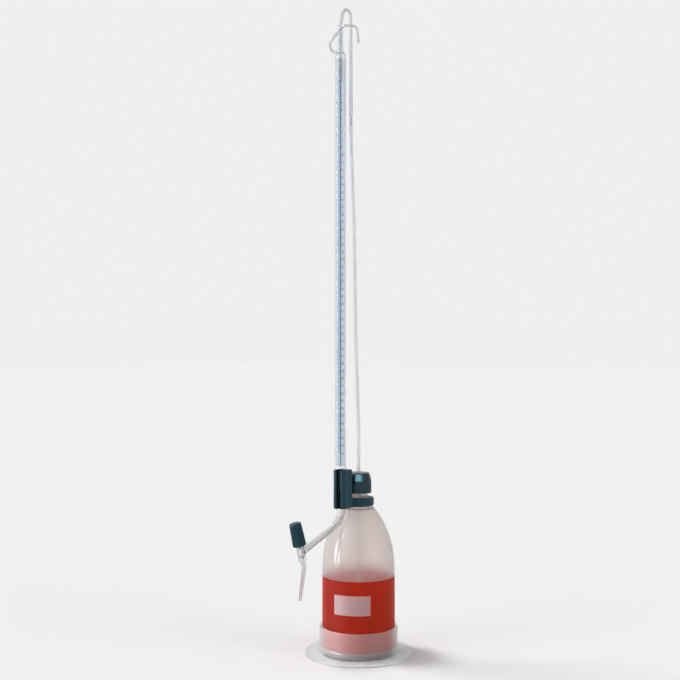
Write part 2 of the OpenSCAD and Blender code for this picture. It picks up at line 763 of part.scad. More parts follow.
module valve_knob() {
    pocket = spindle_radius + head_out + 0.2;
    taper = atan((knob_radius - knob_top_radius) / (knob_length - 3.4));
    color([0.1, 0.22, 0.26]) at_valve() difference() {
        rotate_extrude() difference() {
            polygon([[0, knob_gap], [knob_radius - 1, knob_gap], [knob_radius, knob_gap + 1], [knob_top_radius, knob_top - 2.4],
                [knob_top_radius - 0.7, knob_top - 0.8], [knob_top_radius - 2.4, knob_top], [0, knob_top]]);
            translate([0, knob_gap - 1]) square([knob_bore, knob_ceiling - knob_gap + 1]);
            square([spindle_radius + 0.12, head_low]);
            translate([0, head_low - 0.1]) square([pocket, head_height + 0.3]);
        }
        for (i = [0:knob_grooves - 1]) rotate([0, 0, 360 * i / knob_grooves])
            translate([knob_radius + 1.6 - knob_groove_depth, 0, knob_gap + 1]) rotate([0, -taper, 0])
                translate([0, 0, -2]) cylinder(h = knob_length - 4, r = 1.6, $fn = 32);
    }
}

base_foot();
bottle();
label_band();
writing_panel();
burette_holder();
screw_cap();
cap_seal();
cap_liner();
dip_tube();
riser_tube();
burette_tube();
stripe_backing();
stripe_line();
gooseneck();
vent_tube();
side_arm();
valve_barrel();
jet_tip();
valve_spindle();
spindle_o_rings();
valve_knob();
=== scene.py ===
# %% [markdown]
# A squeeze-bottle burette stands on a bench: a milky bottle in a cup foot, a tall glass tube in a dark clip
# on its neck, a riser to the glass head, and a needle valve with a jet at the side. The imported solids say
# where everything is. This lesson makes the looks around them, piece by piece, and hangs each piece on
# the body that carries it. Lists of sizes are in millimetres, as on a drawing, and MM makes them metres.

import json
import math
from functools import partial

import bmesh
import bpy
import numpy as np
from mathutils import Matrix, Vector


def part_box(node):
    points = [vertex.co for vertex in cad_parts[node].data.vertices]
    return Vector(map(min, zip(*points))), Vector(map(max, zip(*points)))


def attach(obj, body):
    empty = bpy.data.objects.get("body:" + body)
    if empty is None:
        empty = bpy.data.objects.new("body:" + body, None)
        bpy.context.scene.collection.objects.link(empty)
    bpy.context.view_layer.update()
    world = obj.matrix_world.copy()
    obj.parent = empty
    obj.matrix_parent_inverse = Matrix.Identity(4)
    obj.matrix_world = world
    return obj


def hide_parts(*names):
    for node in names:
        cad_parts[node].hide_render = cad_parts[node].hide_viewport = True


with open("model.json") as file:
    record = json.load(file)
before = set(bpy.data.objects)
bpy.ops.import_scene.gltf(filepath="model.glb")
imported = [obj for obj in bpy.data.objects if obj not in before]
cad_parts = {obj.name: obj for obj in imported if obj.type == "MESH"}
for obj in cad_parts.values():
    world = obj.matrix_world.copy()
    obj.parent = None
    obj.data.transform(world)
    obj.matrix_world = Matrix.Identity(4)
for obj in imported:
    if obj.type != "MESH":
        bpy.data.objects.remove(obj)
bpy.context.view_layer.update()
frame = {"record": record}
MM = 0.001
BODY_OF = {node: body for body, nodes in frame["record"]["behaviour"]["bodies"].items() for node in nodes}
scene = bpy.context.scene
scene.view_settings.view_transform = "Standard"

# %% [markdown]
# The photograph is taken level, from the side on which the tube hangs in front of the bottle. The camera
# stands 1.42 m away, turned 50 degrees round the bottle, and looks along the bench without tilting.

# %% Camera
CAMERA_TURN = math.radians(-50)
CAMERA_AWAY = 1.419
CAMERA_HEIGHT = 0.403
LENS_LEFT_OF_BOTTLE = 0.0239
towards_camera = Vector((math.sin(CAMERA_TURN), -math.cos(CAMERA_TURN), 0))
picture_right = Vector((math.cos(CAMERA_TURN), math.sin(CAMERA_TURN), 0))
camera = bpy.data.objects.new("camera", bpy.data.cameras.new("camera"))
camera.data.lens = 58.24
camera.data.sensor_width = 36
camera.location = CAMERA_AWAY * towards_camera - LENS_LEFT_OF_BOTTLE * picture_right
camera.location.z = CAMERA_HEIGHT
camera.rotation_euler = (math.pi / 2, 0, CAMERA_TURN)
scene.collection.objects.link(camera)
scene.camera = camera
print("camera at", [round(v, 3) for v in camera.location])

# %% [markdown]
# Every node tree below is wired with the same few helpers. One adds a node and feeds its sockets, and the
# others do one step each: a sum, a ramp, a mix of colours, a vector. A tree then reads as a list of steps.

# %% Helpers that wire node trees
def add(tree, kind, *feeds, **settings):
    """A new node. Each feed is (socket, value or the socket it is linked from)."""
    node = tree.nodes.new(kind)
    for key, value in settings.items():
        setattr(node, key, value)
    for socket, value in feeds:
        if isinstance(value, bpy.types.NodeSocket):
            tree.links.new(value, node.inputs[socket])
        else:
            node.inputs[socket].default_value = value
    return node


def put(tree, kind, *feeds, **settings):
    """A new node's first output."""
    return add(tree, kind, *feeds, **settings).outputs[0]


def calc(tree, operation, *values):
    """One step of arithmetic on values or sockets."""
    return put(tree, "ShaderNodeMath", *enumerate(values), operation=operation)


def whole(tree, operation, *values):
    """One step of arithmetic on whole numbers."""
    return put(tree, "FunctionNodeIntegerMath", *enumerate(values), operation=operation)


def ramp(tree, value, low, high, **settings):
    """A value that goes from 0 at low to 1 at high, and stays level outside them."""
    feeds = ("Value", value), ("From Min", low), ("From Max", high)
    return put(tree, "ShaderNodeMapRange", *feeds, **settings)


def mixed(tree, share, first, second):
    """A mix of two colours. Each is a socket, or red, green and blue."""
    colours = [c if isinstance(c, bpy.types.NodeSocket) else (*c, 1) for c in (first, second)]
    mix = add(tree, "ShaderNodeMix", (0, share), (6, colours[0]), (7, colours[1]), data_type="RGBA")
    return mix.outputs[2]


def xyz(tree, x=0.0, y=0.0, z=0.0):
    """A vector from three values or sockets."""
    return put(tree, "ShaderNodeCombineXYZ", ("X", x), ("Y", y), ("Z", z))


def new_tree(name, kind, inputs, outputs):
    """An empty tree with named sockets, its input sockets, and its output node."""
    tree = bpy.data.node_groups.new(name, kind)
    for label, socket, value in inputs:
        made = tree.interface.new_socket(label, in_out="INPUT", socket_type="NodeSocket" + socket)
        if value is not None:
            made.default_value = value
    for label, socket in outputs:
        tree.interface.new_socket(label, in_out="OUTPUT", socket_type="NodeSocket" + socket)
    return tree, add(tree, "NodeGroupInput").outputs, add(tree, "NodeGroupOutput")


def geometry_tree(name, inputs):
    """An empty Geometry Nodes tree that takes a start mesh, named sizes and a material."""
    inputs = [("Geometry", "Geometry", None), *inputs, ("Material", "Material", None)]
    return new_tree(name, "GeometryNodeTree", inputs, [("Geometry", "Geometry")])


def end_tree(tree, given, out, geometry):
    """The last steps of every tree: real mesh in place of instances, and the piece's material."""
    real = put(tree, "GeometryNodeRealizeInstances", ("Geometry", geometry))
    dressed = put(tree, "GeometryNodeSetMaterial", ("Geometry", real), ("Material", given["Material"]))
    tree.links.new(dressed, out.inputs["Geometry"])


print("helpers ready")

# %% [markdown]
# A modifier shows its result only on the evaluated object. These helpers run a tree or a modifier on a start
# mesh, keep the result as a plain mesh, close its seams, and let edges sharper than a limit stay crisp.

# %% Helpers that turn modifiers into plain meshes
WELD = 1e-6


def new_object(name, mesh):
    """An object at the origin that shows the mesh."""
    made = bpy.data.objects.new(name, mesh)
    scene.collection.objects.link(made)
    return made


def settle(piece):
    """Replaces the piece's mesh by what its modifiers make, and removes them."""
    graph = bpy.context.evaluated_depsgraph_get()
    made = bpy.data.meshes.new_from_object(piece.evaluated_get(graph), depsgraph=graph)
    piece.modifiers.clear()
    piece.data = made
    made.name = piece.name
    return piece


def clean(mesh, crisp=35):
    """Merges doubles, points every face outwards and keeps edges above the angle crisp."""
    work = bmesh.new()
    work.from_mesh(mesh)
    bmesh.ops.remove_doubles(work, verts=work.verts, dist=2e-7)
    bmesh.ops.recalc_face_normals(work, faces=work.faces)
    work.to_mesh(mesh)
    work.free()
    mesh.shade_smooth()
    mesh.set_sharp_from_angle(angle=math.radians(crisp))


def take_in(piece, other):
    """Adds another object's mesh to the piece, and removes that object."""
    work = bmesh.new()
    work.from_mesh(piece.data)
    work.from_mesh(other.data)
    work.to_mesh(piece.data)
    work.free()
    bpy.data.objects.remove(other)


def grow(name, tree, mesh, **sizes):
    """Runs a Geometry Nodes tree on a start mesh. A size has its input's name, with _ for a space."""
    piece = new_object(name, mesh)
    modifier = piece.modifiers.new(tree.name, "NODES")
    modifier.node_group = tree
    wanted = {key.replace("_", " ").title(): value for key, value in sizes.items()}
    for item in tree.interface.items_tree:
        if item.in_out == "INPUT" and item.name in wanted:
            modifier[item.identifier] = wanted.pop(item.name)
    if wanted:
        raise ValueError(f"{tree.name} has no input {sorted(wanted)}")
    return settle(piece)


def dress(piece, node):
    """Stands for a CAD node and rides on its body. Prints how the boxes differ."""
    corners = np.array([v.co for v in piece.data.vertices])
    low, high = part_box(node)
    off = max(np.abs(corners.min(0) - low).max(), np.abs(corners.max(0) - high).max()) / MM
    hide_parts(node)
    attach(piece, BODY_OF[node])
    print(f"{piece.name}: {len(piece.data.polygons)} faces, box within {off:.2f} mm of {node}")


# %% [markdown]
# Moulded plastic is never one flat colour: it has a fine skin from the mould, slow clouds of tone where the
# melt cooled, and short rubbed marks from handling. Two shader groups hold these effects, so that every
# plastic here shares them with its own values. They read Object coordinates, which stay put on the piece.

# %% Shader group: moulded skin
skin_tree, skin_in, skin_out = new_tree(
    "moulded skin", "ShaderNodeTree",
    [("Grain Scale", "Float", 900.0), ("Cloud Scale", "Float", 25.0)],
    [("Grain", "Float"), ("Cloud", "Float")])
spot = add(skin_tree, "ShaderNodeTexCoord").outputs["Object"]
grain = put(skin_tree, "ShaderNodeTexNoise", ("Vector", spot), ("Scale", skin_in["Grain Scale"]),
            ("Detail", 3.0), ("Roughness", 0.6))
cloud = put(skin_tree, "ShaderNodeTexNoise", ("Vector", spot), ("Scale", skin_in["Cloud Scale"]),
            ("Detail", 4.0), ("Roughness", 0.55), ("Distortion", 0.4))
skin_tree.links.new(grain, skin_out.inputs["Grain"])
skin_tree.links.new(ramp(skin_tree, cloud, 0.3, 0.7), skin_out.inputs["Cloud"])
print("group:", skin_tree.name)

# %% Shader group: handling marks
marks_tree, marks_in, marks_out = new_tree(
    "handling marks", "ShaderNodeTree",
    [("Across Scale", "Float", 700.0), ("Along Scale", "Float", 40.0), ("Patch Scale", "Float", 60.0)],
    [("Marks", "Float")])
spot = add(marks_tree, "ShaderNodeTexCoord").outputs["Object"]
stretch = xyz(marks_tree, marks_in["Across Scale"], marks_in["Across Scale"], marks_in["Along Scale"])
drawn = put(marks_tree, "ShaderNodeVectorMath", (0, spot), (1, stretch), operation="MULTIPLY")
lines = put(marks_tree, "ShaderNodeTexNoise", ("Vector", drawn), ("Scale", 1.0), ("Detail", 2.0))
patch = put(marks_tree, "ShaderNodeTexNoise", ("Vector", spot), ("Scale", marks_in["Patch Scale"]),
            ("Detail", 2.0))
thin = ramp(marks_tree, lines, 0.62, 0.74)
where = ramp(marks_tree, patch, 0.52, 0.68)
marks_tree.links.new(calc(marks_tree, "MULTIPLY", thin, where), marks_out.inputs["Marks"])
print("group:", marks_tree.name)

# %% [markdown]
# One function makes every moulded finish. The colour drifts with the clouds, the gloss drifts with them and
# dulls in the handling marks, and the grain stands up a few hundredths of a millimetre through a bump.
# Transmission, IOR and tints are the same all over, so they are set on the shader's own sockets. The foot's
# brim is duller than its cup and is painted greyer as painted shade, so a second function drops the coat and
# paints a darker colour below a height.

# %% A moulded finish
def moulded(name, colour, shade, rough, dull=0.12, grain_scale=900.0, grain_height=0.02, cloud_scale=25.0,
            marks=0.3, bump=0.25, **sockets):
    """A plastic or rubber. Its colour drifts from colour to shade, its roughness by as much as dull."""
    material = bpy.data.materials.new(name)
    material.use_nodes = True
    tree = material.node_tree
    shader = tree.nodes["Principled BSDF"]
    skin = add(tree, "ShaderNodeGroup", ("Grain Scale", grain_scale), ("Cloud Scale", cloud_scale),
               node_tree=skin_tree)
    worn = add(tree, "ShaderNodeGroup", node_tree=marks_tree)
    tree.links.new(mixed(tree, skin.outputs["Cloud"], colour, shade), shader.inputs["Base Color"])
    dulled = calc(tree, "MULTIPLY_ADD", worn.outputs["Marks"], marks * dull, rough)
    gloss = calc(tree, "MULTIPLY_ADD", skin.outputs["Cloud"], dull, dulled)
    tree.links.new(gloss, shader.inputs["Roughness"])
    lift = calc(tree, "MULTIPLY_ADD", worn.outputs["Marks"], -0.5 * marks, skin.outputs["Grain"])
    bumps = put(tree, "ShaderNodeBump", ("Strength", bump), ("Distance", grain_height * MM), ("Height", lift))
    tree.links.new(bumps, shader.inputs["Normal"])
    for socket, value in sockets.items():
        shader.inputs[socket.replace("_", " ").title().replace("Ior", "IOR")].default_value = value
    return material


def frost_with_painted_shade(material, height, colour, coat, fade=5):
    """Turns a finish to another colour below a height in mm, used as painted shade, and gives it its coat
    only above.
    """
    tree = material.node_tree
    shader = tree.nodes["Principled BSDF"]
    spot = add(tree, "ShaderNodeSeparateXYZ", (0, add(tree, "ShaderNodeTexCoord").outputs["Object"]))
    clear_of_frost_and_shade = ramp(tree, spot.outputs["Z"], (height - fade) * MM, (height + fade) * MM)
    tone = shader.inputs["Base Color"].links[0].from_socket
    tree.links.new(mixed(tree, clear_of_frost_and_shade, colour, tone), shader.inputs["Base Color"])
    tree.links.new(calc(tree, "MULTIPLY", clear_of_frost_and_shade, coat), shader.inputs["Coat Weight"])


# %% Plastics and rubbers
foot_plastic = moulded(
    "foot plastic", (0.97, 0.965, 0.975), (0.95, 0.945, 0.96), 0.3, dull=0.06, cloud_scale=14,
    transmission_weight=0.98, ior=1.2, coat_roughness=0.55, coat_ior=1.65)
# Below 7 mm the brim is painted a greyer colour as painted shade, and has no coat as a duller finish.
frost_with_painted_shade(foot_plastic, 7, (0.8, 0.795, 0.805), 1.0)
bottle_plastic = moulded(
    "bottle plastic", (0.84, 0.785, 0.765), (0.82, 0.76, 0.74), 0.43, cloud_scale=12, grain_scale=420,
    grain_height=0.06, transmission_weight=0.93, ior=1.22, coat_weight=0.45, coat_roughness=0.15,
    specular_ior_level=0.7)
label_red = moulded(
    "label red", (0.7, 0.054, 0.013), (0.66, 0.049, 0.011), 0.38, cloud_scale=30, grain_scale=1600,
    grain_height=0.01, marks=0.5, specular_ior_level=0.08, transmission_weight=0.75, ior=1.2)
panel_white = moulded(
    "panel white", (0.95, 0.79, 0.82), (0.93, 0.76, 0.79), 0.3, dull=0.05, grain_scale=1400,
    grain_height=0.01, transmission_weight=0.98, ior=1.15, coat_weight=1.0, coat_roughness=0.5, coat_ior=1.85)
SHEEN = (0.6, 0.9, 1.0, 1.0)
holder_plastic = moulded(
    "holder plastic", (0.015, 0.046, 0.063), (0.011, 0.037, 0.052), 0.34, grain_scale=1100,
    specular_ior_level=0.16, specular_tint=SHEEN)
cap_plastic = moulded(
    "cap plastic", (0.006, 0.013, 0.02), (0.004, 0.009, 0.014), 0.3, dull=0.06,
    specular_ior_level=0.42, specular_tint=SHEEN)
knob_plastic = moulded(
    "knob plastic", (0.006, 0.034, 0.05), (0.004, 0.025, 0.038), 0.34, grain_scale=1300,
    specular_ior_level=0.25, specular_tint=SHEEN)
seal_rubber = moulded("seal rubber", (0.5, 0.5, 0.47), (0.44, 0.44, 0.41), 0.6, grain_scale=1500)
liner_foam = moulded(
    "liner foam", (0.8, 0.8, 0.75), (0.74, 0.74, 0.69), 0.85, grain_scale=2500, grain_height=0.08)
riser_plastic = moulded(
    "riser plastic", (0.83, 0.825, 0.835), (0.81, 0.805, 0.82), 0.32, cloud_scale=60,
    transmission_weight=0.7, ior=1.2, specular_ior_level=0.2)
spindle_plastic = moulded(
    "spindle plastic", (0.86, 0.86, 0.85), (0.82, 0.82, 0.81), 0.42, grain_scale=1800)
ring_rubber = moulded("ring rubber", (0.02, 0.02, 0.021), (0.014, 0.014, 0.015), 0.55, grain_scale=2200)
print("plastics and rubbers ready")

# %% [markdown]
# Drawn glass shows faint lines along its length, and it is darker where the eye runs along the wall: partly
# as the light crosses more glass there, partly as painted shade where real glass shows darker surroundings.
# Layer Weight gives that edge, and a stretched noise gives the lines.
# Enamel, the fired-on paint of the stripe and the scale, is smooth and slightly uneven.

# %% Glass and enamel
def drawn_glass(name, middle, edge, rough, blend=0.4, lines=0.004):
    """Clear glass with a darker edge, partly painted shade, and faint lines along its length."""
    material = bpy.data.materials.new(name)
    material.use_nodes = True
    tree = material.node_tree
    shader = tree.nodes["Principled BSDF"]
    shader.inputs["Transmission Weight"].default_value = 1.0
    shader.inputs["IOR"].default_value = 1.474
    shader.inputs["Specular Tint"].default_value = (0.12, 0.12, 0.12, 1)
    # The edge colour is darker: partly the longer path through glass, partly painted shade.
    facing = add(tree, "ShaderNodeLayerWeight", ("Blend", blend)).outputs["Facing"]
    tree.links.new(mixed(tree, facing, middle, edge), shader.inputs["Base Color"])
    marks = put(tree, "ShaderNodeGroup", ("Across Scale", 900.0), ("Along Scale", 12.0), ("Patch Scale", 9.0),
                node_tree=marks_tree)
    skin = add(tree, "ShaderNodeGroup", ("Grain Scale", 160.0), ("Cloud Scale", 40.0), node_tree=skin_tree)
    gloss = calc(tree, "MULTIPLY_ADD", skin.outputs["Cloud"], 0.04, rough)
    tree.links.new(gloss, shader.inputs["Roughness"])
    height = calc(tree, "MULTIPLY_ADD", marks, 0.4, skin.outputs["Grain"])
    bumps = put(tree, "ShaderNodeBump", ("Strength", 0.015), ("Distance", lines * MM), ("Height", height))
    tree.links.new(bumps, shader.inputs["Normal"])
    return material


clear_glass = drawn_glass("clear glass", (0.94, 0.955, 0.965), (0.72, 0.76, 0.8), 0.09)
thin_glass = drawn_glass("thin glass", (0.8, 0.805, 0.815), (0.6, 0.61, 0.63), 0.2)
milk_glass = moulded(
    "milk glass", (0.8, 0.87, 0.95), (0.77, 0.84, 0.925), 0.3, grain_scale=1200, grain_height=0.01,
    transmission_weight=0.85, ior=1.3)
blue_line = moulded(
    "blue line", (0.09, 0.2, 0.46), (0.075, 0.17, 0.41), 0.22, grain_scale=1500, grain_height=0.01)
scale_print = moulded(
    "scale print", (0.09, 0.17, 0.33), (0.07, 0.14, 0.28), 0.3, grain_scale=1500, grain_height=0.01)
print("glass and enamel ready")

# %% [markdown]
# Most pieces here are round: foot, bottle, cap, tube, barrel, spindle and knob. On a lathe a half outline is
# turned about an axis, and this tree does that: it reads the outline point by point and lays a grid round
# the axis. The same tree can press finger flutes into the outside and raise a screw thread on a neck.

# %% Geometry tree: turn a profile
turn_tree, given, out = geometry_tree("turn a profile", [
    ("Segments", "Int", 96), ("Flutes", "Int", 12), ("Flute Edge", "Float", 1.0),
    ("Flute Radius", "Float", 0.001), ("Flute Depth", "Float", 0.0), ("Flute Top", "Float", 0.0),
    ("Flute Fade", "Float", 0.001), ("Flute Lean", "Float", 0.0),
    ("Thread Root", "Float", 1.0), ("Thread Depth", "Float", 0.0), ("Thread Pitch", "Float", 0.001),
    ("Thread Low", "Float", 0.0), ("Thread High", "Float", 0.0)])
do = partial(calc, turn_tree)
profile = given["Geometry"]
rows = add(turn_tree, "GeometryNodeAttributeDomainSize", ("Geometry", profile)).outputs["Point Count"]
columns = whole(turn_tree, "ADD", given["Segments"], 1)
grid = put(turn_tree, "GeometryNodeMeshGrid", ("Vertices X", columns), ("Vertices Y", rows))
index = put(turn_tree, "GeometryNodeInputIndex")
column = whole(turn_tree, "DIVIDE_FLOOR", index, rows)
row = whole(turn_tree, "MODULO", index, rows)
place = put(turn_tree, "GeometryNodeInputPosition")
outline = add(turn_tree, "GeometryNodeSampleIndex", ("Geometry", profile), ("Value", place), ("Index", row),
              data_type="FLOAT_VECTOR")
split = add(turn_tree, "ShaderNodeSeparateXYZ", (0, outline.outputs["Value"]))
radius, height = split.outputs["X"], split.outputs["Z"]
share = do("DIVIDE", column, given["Segments"])
angle = do("MULTIPLY", share, 2 * math.pi)
# flutes: the outside is cut by round cutters, spaced evenly, that fade out near the top
half_step = do("DIVIDE", math.pi, given["Flutes"])
nearest = do("WRAP", angle, half_step, do("MULTIPLY", half_step, -1))
left = do("SUBTRACT", given["Flute Top"], height)
fade = do("DIVIDE", left, given["Flute Fade"])
fade = ramp(turn_tree, fade, 0.0, 1.0, interpolation_type="SMOOTHSTEP")
depth = do("MULTIPLY", given["Flute Depth"], fade)
edge = do("SUBTRACT", given["Flute Edge"], do("MULTIPLY", given["Flute Lean"], height))
centre = do("SUBTRACT", do("ADD", edge, given["Flute Radius"]), depth)
across = do("MULTIPLY", centre, do("SINE", nearest))
chord = do("SUBTRACT", do("POWER", given["Flute Radius"], 2.0), do("MULTIPLY", across, across))
reach = do("SQRT", do("MAXIMUM", chord, 0.0))
cut = do("SUBTRACT", do("MULTIPLY", centre, do("COSINE", nearest)), reach)
fluted = do("MINIMUM", radius, cut)
# thread: a ridge that climbs one pitch a turn, with sloping flanks and a run-out at both ends
above = do("DIVIDE", do("SUBTRACT", height, given["Thread Low"]), given["Thread Pitch"])
below = do("DIVIDE", do("SUBTRACT", given["Thread High"], height), given["Thread Pitch"])
climb = do("FRACT", do("SUBTRACT", above, share))
ridge = ramp(turn_tree, do("ABSOLUTE", do("SUBTRACT", climb, 0.5)), 0.325, 0.1)
run_out = do("MULTIPLY", ramp(turn_tree, above, 0.0, 0.5), ramp(turn_tree, below, 0.0, 0.5))
outside = do("GREATER_THAN", radius, given["Thread Root"])
raised = do("MULTIPLY", do("MULTIPLY", ridge, run_out), do("MULTIPLY", outside, given["Thread Depth"]))
final = do("ADD", fluted, raised)
east = do("MULTIPLY", final, do("COSINE", angle))
north = do("MULTIPLY", final, do("SINE", angle))
bent = put(turn_tree, "GeometryNodeSetPosition", ("Geometry", grid),
           ("Position", xyz(turn_tree, east, north, height)))
closed = put(turn_tree, "GeometryNodeMergeByDistance", ("Geometry", bent), ("Distance", WELD))
end_tree(turn_tree, given, out, closed)
print("tree:", turn_tree.name, len(turn_tree.nodes), "nodes")


# %% [markdown]
# An outline is a list of corners. A corner with a third number gets a fillet of that radius, because a
# moulded or drawn edge is never knife sharp. Two extra points hold each long flat, so that smooth shading
# stays flat there and turns only round the fillet.

# %% Profiles with rounded corners
def rounded(corners, closed=False, hold=0.3):
    """Points along the corners (r, z) or (r, z, fillet). A closed outline ends where it starts."""
    spots = [Vector(c[:2]) for c in corners]
    points = []
    for i, corner in enumerate(corners):
        if len(corner) < 3 or (not closed and i in (0, len(corners) - 1)):
            points.append(spots[i])
            continue
        back = (spots[i - 1] - spots[i]).normalized()
        on = (spots[(i + 1) % len(spots)] - spots[i]).normalized()
        turn = math.pi - back.angle(on)
        cut = corner[2] * math.tan(turn / 2)
        first = spots[i] + back * cut
        centre = spots[i] + (back + on).normalized() * corner[2] / math.cos(turn / 2)
        way = 1 if back.x * on.y - back.y * on.x < 0 else -1
        parts = max(2, round(turn / math.radians(15)))
        for k in range(parts + 1):
            points.append(centre + Matrix.Rotation(way * turn * k / parts, 2) @ (first - centre))
    if closed:
        points.append(points[0])
    held = [points[0]]
    for a, b in zip(points, points[1:]):
        gap = (b - a).length
        if gap > 4 * hold:
            held += [a + (b - a) * hold / gap, b - (b - a) * hold / gap]
        held.append(b)
    return held


def arc(centre, radius, start, stop, parts):
    """Points on a circle in the outline's plane, with angles in degrees from the outward direction."""
    turns = np.radians(np.linspace(start, stop, parts + 1))
    return [(centre[0] + radius * math.cos(t), centre[1] + radius * math.sin(t)) for t in turns]


def fine(points, low, high, step):
    """The same outline with no step longer than given between two heights."""
    made = [points[0]]
    for a, b in zip(points, points[1:]):
        parts = 1
        if min(a.y, b.y) > low and max(a.y, b.y) < high:
            parts = max(1, math.ceil((b - a).length / step))
        made += [a + (b - a) * k / parts for k in range(1, parts + 1)]
    return made


def chain(name, points):
    """A start mesh for a tree: points in metres, joined one after the other."""
    mesh = bpy.data.meshes.new(name)
    mesh.from_pydata(points, [(i, i + 1) for i in range(len(points) - 1)], [])
    return mesh


def turned(name, outline, material, place=Matrix(), **sizes):
    """A round piece: its outline in mm, turned about the axis and put in its frame."""
    start = chain(name + " outline", [(p[0] * MM, 0, p[1] * MM) for p in outline])
    piece = grow(name, turn_tree, start, material=material, **sizes)
    piece.data.transform(place)
    clean(piece.data)
    return piece


# %% [markdown]
# The cup foot is one translucent moulding: a cup that the bottle stands in, and a brim that flares out to
# keep the tall object upright. The bottle is blown from a soft milky plastic, with a wide round shoulder, a
# bead that keeps the clip's collar down, and a thread under the cap. Both are turned from their outlines.

# %% Foot and bottle
FOOT = rounded([
    (0, 0), (47.5, 0, 0.5), (47.5, 6, 0.8), (50.5, 6.8, 1), (65, 1.4, 0.5), (65, 0, 0.2), (69, 0, 0.9),
    (69, 3, 1), (54.5, 6.3, 8), (50.5, 10.5, 4), (50.5, 36, 0.9), (47.3, 36, 0.5), (47.3, 3, 0.7), (0, 3)])
dress(turned("foot_cup", FOOT, foot_plastic, segments=160), "base_foot")

SHOULDER_CENTRE = (-74.491, 112)
BOTTLE = fine(rounded(
    [(0, 5.5), (31.5, 5.5, 1), (36.5, 3, 1.5), (46.5, 3, 7), (46.5, 112)]
    + arc(SHOULDER_CENTRE, 120.991, 1.5, 39, 25)
    + [(18, 190, 0.8), (12.3, 190, 0.6), (12.3, 201, 0.2), (13.2, 201, 0.6), (13.2, 203.4, 0.6),
       (11.7, 203.4, 0.2), (11.7, 220.4, 0.6), (10.3, 220.4, 0.5), (10.3, 186, 1), (19.1, 186, 2)]
    + arc(SHOULDER_CENTRE, 119.391, 37, 0, 25)
    + [(44.9, 7.1, 5.4), (0, 7.1)]), 204, 220, 0.25)
bottle_shell = turned(
    "bottle_shell", BOTTLE, bottle_plastic, segments=128, thread_root=11.5 * MM, thread_depth=0.9 * MM,
    thread_pitch=4 * MM, thread_low=204.4 * MM, thread_high=218.6 * MM)
dress(bottle_shell, "bottle")


# %% [markdown]
# The label is printed on a thin red band round the bottle, with a pale window to write the contents in. It
# is a sheet, so it is laid out as columns and rows of one cylinder, the window's cells are left out, and
# Solidify gives the film its thickness. The stripe on the glass tube is made by the same function.

# %% Films that lie on a cylinder
def film(name, material, axis, inner, thickness, turns, heights, left_out=None):
    """A sheet on a cylinder, from lists of angles in degrees and heights in mm. left_out drops cells."""
    ring = len(turns) if turns[-1] - turns[0] < 359 else len(turns) - 1
    vertices = [(axis + inner * math.cos(math.radians(t)), inner * math.sin(math.radians(t)), z)
                for z in heights for t in turns[:ring]]
    faces = []
    for j in range(len(heights) - 1):
        for i in range(len(turns) - 1):
            middle = ((turns[i] + turns[i + 1]) / 2, (heights[j] + heights[j + 1]) / 2)
            if left_out is None or not left_out(*middle):
                k = (i + 1) % ring
                faces.append((j * ring + i, j * ring + k, (j + 1) * ring + k, (j + 1) * ring + i))
    mesh = bpy.data.meshes.new(name)
    mesh.from_pydata([tuple(c * MM for c in v) for v in vertices], [], faces)
    mesh.materials.append(material)
    piece = new_object(name, mesh)
    work = bmesh.new()
    work.from_mesh(mesh)
    bmesh.ops.delete(work, geom=[v for v in work.verts if not v.link_faces], context="VERTS")
    work.to_mesh(mesh)
    work.free()
    wall = piece.modifiers.new("film", "SOLIDIFY")
    wall.thickness = thickness * MM
    wall.offset = 1
    settle(piece)
    clean(piece.data, 40)
    return piece


def steps(low, high, size):
    """Even steps from low to high, none longer than size."""
    return list(np.linspace(low, high, max(2, math.ceil((high - low) / size) + 1)))


# %% Label and its window
LABEL_LOW, LABEL_HIGH, LABEL_INNER = 11, 100.5, 46.55
WINDOW_LOW, WINDOW_HIGH, WINDOW_EDGE = 58, 83, 0.3
WINDOW_MIDDLE, WINDOW_HALF = 208, 30
window_start = WINDOW_MIDDLE - WINDOW_HALF
round_turns = steps(window_start, window_start + 360, 2)
label_heights = (steps(LABEL_LOW, WINDOW_LOW, 6) + steps(WINDOW_LOW, WINDOW_HIGH, 5)[1:]
                 + steps(WINDOW_HIGH, LABEL_HIGH, 5)[1:])


def in_window(turn, height):
    """Whether a cell of the label lies in the window."""
    return abs(turn - WINDOW_MIDDLE) < WINDOW_HALF and WINDOW_LOW < height < WINDOW_HIGH


label_print = film("label_print", label_red, 0, LABEL_INNER, 0.25, round_turns, label_heights, in_window)
dress(label_print, "label_band")
panel_turns = steps(window_start + WINDOW_EDGE, WINDOW_MIDDLE + WINDOW_HALF - WINDOW_EDGE, 2)
panel_heights = steps(WINDOW_LOW + WINDOW_EDGE, WINDOW_HIGH - WINDOW_EDGE, 5)
label_window = film("label_window", panel_white, 0, LABEL_INNER, 0.15, panel_turns, panel_heights)
dress(label_window, "writing_panel")

# %% [markdown]
# The cap is a dark moulding with a fine row of grip grooves and a tapering crown, and the soft seal sticks
# out of its top round the riser. Inside lie the seal's flange and a liner ring on the bottle's mouth. All
# are turned, and the cap uses the tree's flutes.

